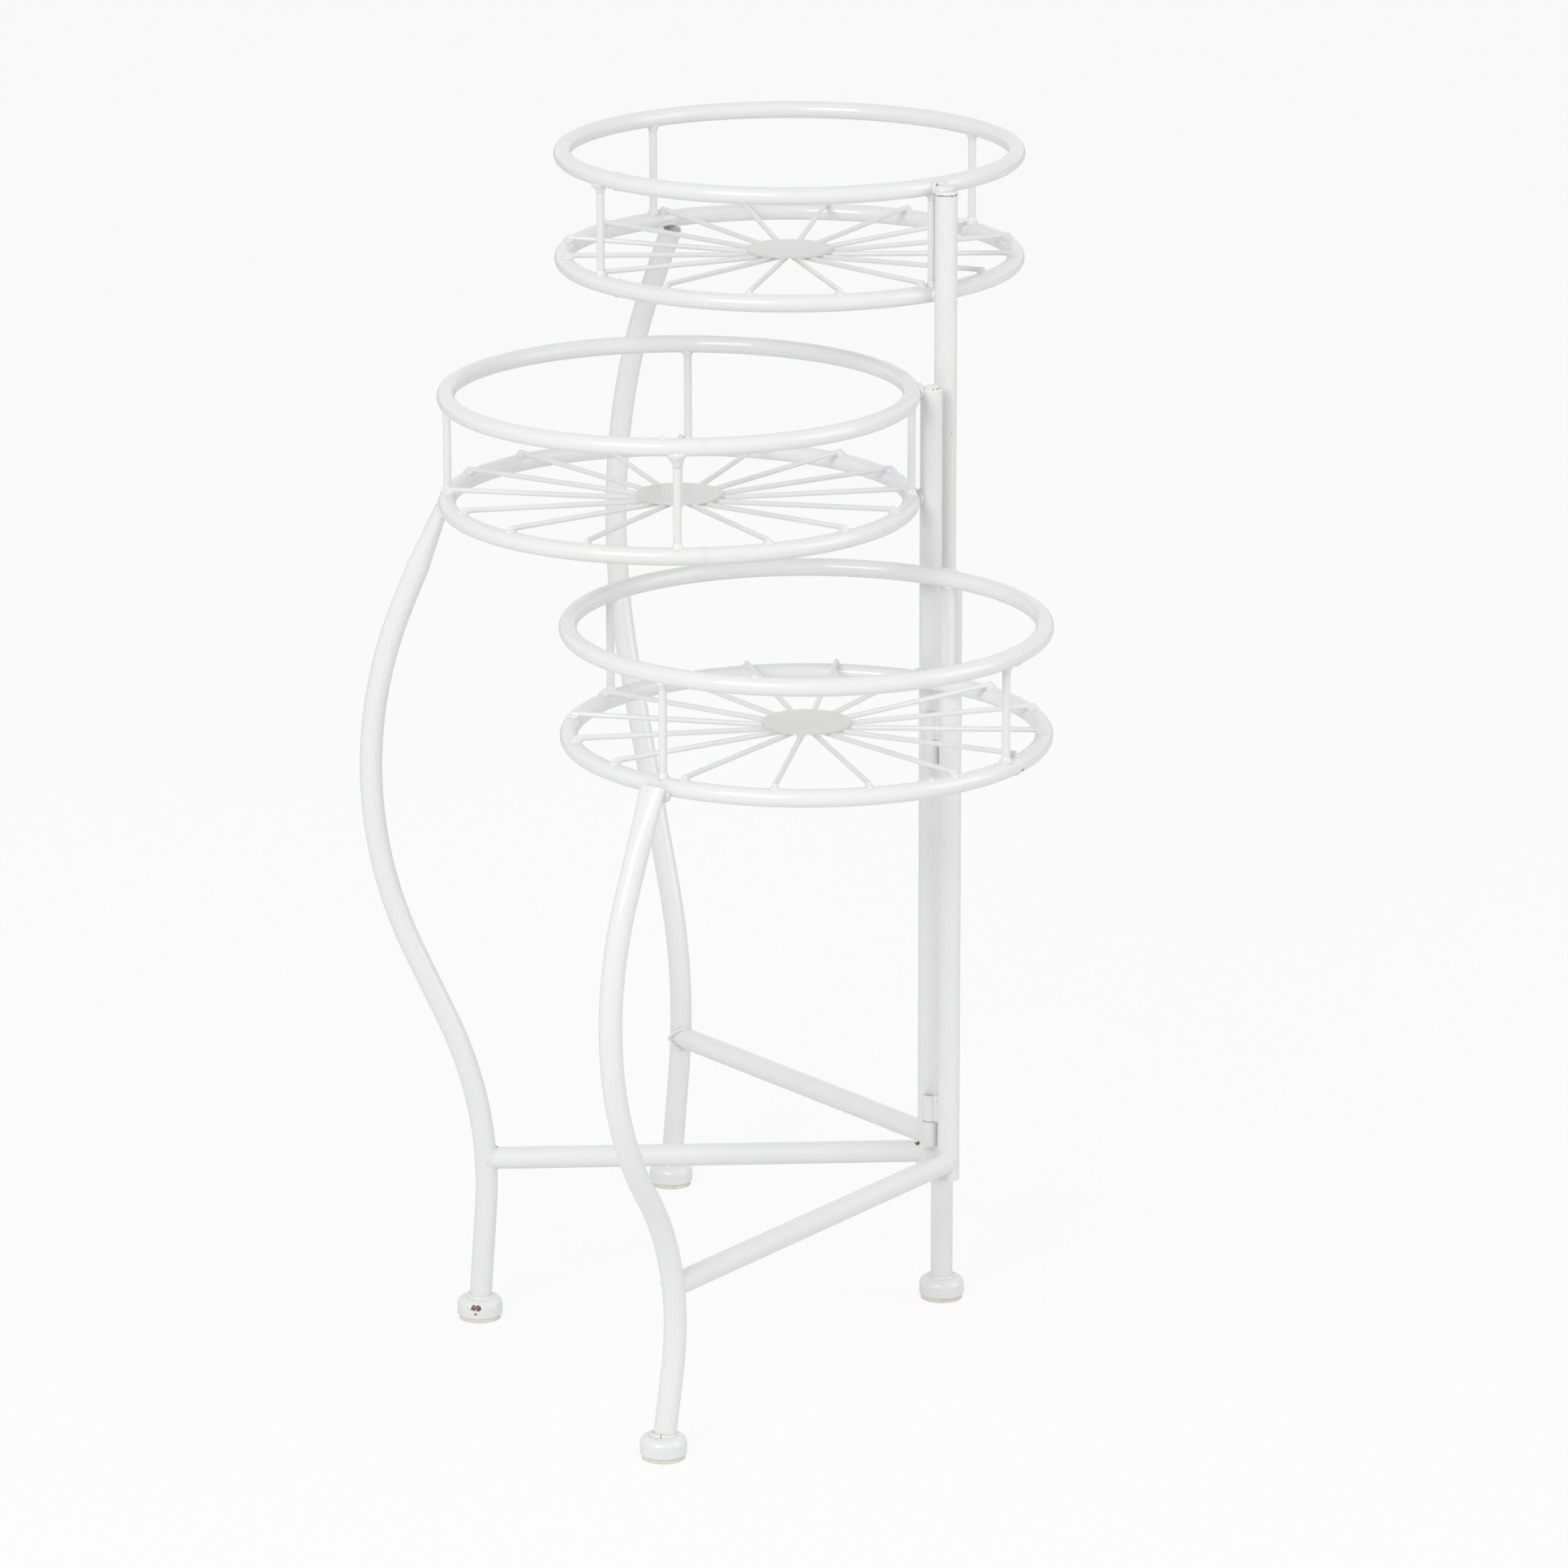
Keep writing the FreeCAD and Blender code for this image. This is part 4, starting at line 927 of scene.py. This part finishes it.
def make_foot_welds(leaf):
    """A lumpy collar where a leg's tube enters its foot cup, and one at the tall post's cup."""
    mesh = bmesh.new()
    radius = POST_RADIUS + COLLAR_OFF
    knee = leaf["post"] + leaf["leg_way"] * leaf["leg_out"] + UP * leaf["stretcher"]
    axis = (knee - leaf["leg_base"]).normalized()
    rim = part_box("tall_post_foot")[1].z
    centre = leaf["leg_base"] + axis * ((rim - leaf["leg_base"].z) / axis.z)
    add_bead(mesh, circle_path(centre, axis, radius), FOOT_WELD)
    if leaf["name"] == "tall":
        add_bead(mesh, circle_path(leaf["post"] + UP * rim, UP, radius), FOOT_WELD)
    piece_from(mesh, leaf["name"] + "_foot_welds", leaf["body"], foot_weld_paint)


def make_ring_seams(leaf):
    """The ground-down bead over the butt joint of each ring."""
    mesh = bmesh.new()
    base = math.atan2(leaf["out"].y, leaf["out"].x)
    for level in LEVELS:
        point, outward = ring_point(leaf, base + SEAM_TURN, level)
        add_bead(mesh, circle_path(point, UP.cross(outward), RING_TUBE), SEAM_WELD)
    piece_from(mesh, leaf["name"] + "_ring_seams", leaf["body"], ring_paint)


def make_nubs(leaf):
    """Small lumps on top of the rings where wires were tacked from the other side."""
    mesh = bmesh.new()
    for level, angle, reach in NUBS[leaf["name"]]:
        point, outward = ring_point(leaf, angle, level)
        turn = axes_matrix(outward, UP.cross(outward), UP)
        add_blob(mesh, point + UP * (RING_TUBE - NUB_SUNK), reach, turn, NUB_LUMPS)
    piece_from(mesh, leaf["name"] + "_nubs", leaf["body"], weld_paint)


def make_top_weld(leaf):
    """The lumpy weld that fills between the tall post's end and the ring beside it."""
    mesh = bmesh.new()
    cap_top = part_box("tall_post_cap")[1].z
    centre = leaf["post"] + UP * (cap_top - TOP_BEAD_BELOW)
    add_bead(mesh, circle_path(centre, UP, POST_RADIUS - TOP_BEAD_INSIDE), TOP_BEAD)
    for out, above, reach, lumps in TOP_LUMPS:
        place = leaf["post"] + leaf["out"] * out + UP * (cap_top + above)
        add_blob(mesh, place, reach, lumps=lumps)
    piece_from(mesh, "tall_top_weld", leaf["body"], top_weld_paint)


def add_barrel_dabs(mesh, leaf, axis, barrel):
    """Dabs at both ends of the seams between a hinge barrel and its leaf's post."""
    low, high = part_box(barrel)
    to_post = leaf["post"] - axis
    way = to_post.normalized()
    across = UP.cross(way)
    turn = axes_matrix(way, across, UP)
    seat = axis + way * (to_post.length - POST_RADIUS - HINGE_DAB_SUNK)
    for level, sign in ((low.z + HINGE_DAB_IN, 1), (high.z - HINGE_DAB_IN, -1)):
        for side in (-1, 1):
            place = seat + across * (side * HINGE_DAB_ASIDE)
            place.z = level + sign * side * HINGE_DAB_STAGGER
            add_blob(mesh, place, HINGE_DAB, turn, HINGE_DAB_LUMPS)


def make_hinge_welds(leaf):
    """The dabs that hold a leaf's hinge barrels to its post."""
    mesh = bmesh.new()
    for hinge, barrel in HINGE_BARRELS[leaf["name"]]:
        axis = on_floor(hinge + "_high_pin")
        for height in ("high", "low"):
            add_barrel_dabs(mesh, leaf, axis, "_".join((hinge, height, barrel)))
    piece_from(mesh, leaf["name"] + "_hinge_welds", leaf["body"], weld_paint)


def make_welds():
    """All welds of the three leaves."""
    for leaf in leaves.values():
        make_post_welds(leaf)
        make_strut_welds(leaf)
        make_spoke_welds(leaf)
        make_leg_welds(leaf)
        make_foot_welds(leaf)
        make_ring_seams(leaf)
    for name in NUBS:
        make_nubs(leaves[name])
    make_top_weld(leaves["tall"])
    for leaf in leaves.values():
        make_hinge_welds(leaf)


# ---------------------------------------------------------------------------
# Studio
# ---------------------------------------------------------------------------

CAMERA_PLACE = Vector((-284.67, -4061.53, 1464.86)) * MM
CAMERA_RIGHT = Vector((0.998849, -0.04793, -0.001554))
CAMERA_FORWARD = Vector((0.04569, 0.961018, -0.272686))
SENSOR = 36.0
LENS = 169.617
SIGHT = 100.0

FLOOR_REACH = 30.0
FLOOR_COLOUR = (0.86, 0.86, 0.86, 1)
FLOOR_ROUGHNESS = 0.9
FLOOR_SHEEN = 0.1
FLOOR_GLOW = 0.86

# How bright the surround is as light, and where the camera or a reflection sees it.
WORLD_LIGHT = 0.68
WORLD_SEEN = 1.0

# The lamps and what they face: name, place, width, height, power.
LAMP_TARGET = Vector((-0.1, 0.0, 0.35))
LAMPS = (
    ("key_light", Vector((-1.5, -2.6, 2.0)), 1.5, 1.3, 41.0),
    ("fill_light", Vector((2.6, -0.8, 1.4)), 1.6, 2.0, 17.0),
)


def make_camera():
    """The photograph's view: a long lens from a little above."""
    data = bpy.data.cameras.new("studio_camera")
    data.sensor_fit = "HORIZONTAL"
    data.sensor_width = SENSOR
    data.lens = LENS
    data.clip_end = SIGHT
    camera = bpy.data.objects.new("studio_camera", data)
    above = CAMERA_RIGHT.cross(CAMERA_FORWARD).normalized()
    turn = axes_matrix(CAMERA_RIGHT, above, -CAMERA_FORWARD)
    camera.matrix_world = Matrix.Translation(CAMERA_PLACE) @ turn.to_4x4()
    bpy.context.scene.collection.objects.link(camera)
    bpy.context.scene.camera = camera


def make_floor_material():
    """A pale matt white that the camera sees near white, with the stand's shadow on it."""
    material = bpy.data.materials.new("floor_white")
    material.use_nodes = True
    tree = material.node_tree
    shader = tree.nodes["Principled BSDF"]
    shader.inputs["Base Color"].default_value = FLOOR_COLOUR
    shader.inputs["Roughness"].default_value = FLOOR_ROUGHNESS
    shader.inputs["Specular IOR Level"].default_value = FLOOR_SHEEN
    glow = tree.nodes.new("ShaderNodeEmission")
    glow.inputs["Strength"].default_value = 1.0
    seen = tree.nodes.new("ShaderNodeLightPath")
    amount = tree.nodes.new("ShaderNodeMath")
    amount.operation = "MULTIPLY"
    amount.inputs[1].default_value = FLOOR_GLOW
    blend = tree.nodes.new("ShaderNodeMixShader")
    tree.links.new(seen.outputs["Is Camera Ray"], amount.inputs[0])
    tree.links.new(amount.outputs["Value"], blend.inputs["Fac"])
    tree.links.new(shader.outputs["BSDF"], blend.inputs[1])
    tree.links.new(glow.outputs["Emission"], blend.inputs[2])
    tree.links.new(blend.outputs["Shader"], tree.nodes["Material Output"].inputs["Surface"])
    return material


def make_floor():
    """A level floor that reaches out of every view."""
    mesh = bmesh.new()
    bmesh.ops.create_grid(mesh, x_segments=1, y_segments=1, size=FLOOR_REACH)
    data = bpy.data.meshes.new("floor")
    mesh.to_mesh(data)
    mesh.free()
    floor = bpy.data.objects.new("floor", data)
    bpy.context.scene.collection.objects.link(floor)
    data.materials.append(make_floor_material())


def make_world():
    """An even pale surround: white to the camera and in reflections, softer as light."""
    world = bpy.data.worlds.new("studio_world")
    bpy.context.scene.world = world
    world.use_nodes = True
    tree = world.node_tree
    background = tree.nodes["Background"]
    background.inputs["Color"].default_value = (1, 1, 1, 1)
    seen = tree.nodes.new("ShaderNodeLightPath")
    either = tree.nodes.new("ShaderNodeMath")
    either.operation = "MAXIMUM"
    strength = tree.nodes.new("ShaderNodeMapRange")
    strength.inputs["To Min"].default_value = WORLD_LIGHT
    strength.inputs["To Max"].default_value = WORLD_SEEN
    tree.links.new(seen.outputs["Is Camera Ray"], either.inputs[0])
    tree.links.new(seen.outputs["Is Glossy Ray"], either.inputs[1])
    tree.links.new(either.outputs["Value"], strength.inputs["Value"])
    tree.links.new(strength.outputs["Result"], background.inputs["Strength"])


def add_softbox(name, place, width, height, power):
    """A large soft lamp at a place, facing the stand."""
    data = bpy.data.lights.new(name, "AREA")
    data.shape = "RECTANGLE"
    data.size = width
    data.size_y = height
    data.energy = power
    lamp = bpy.data.objects.new(name, data)
    lamp.location = place
    lamp.rotation_euler = (LAMP_TARGET - place).to_track_quat("-Z", "Y").to_euler()
    bpy.context.scene.collection.objects.link(lamp)


def make_studio():
    """Camera, floor, surround, lamps and the plain colour transform."""
    make_camera()
    make_floor()
    make_world()
    for name, place, width, height, power in LAMPS:
        add_softbox(name, place, width, height, power)
    bpy.context.scene.view_settings.view_transform = "Standard"


dress_nodes()
make_welds()
make_studio()
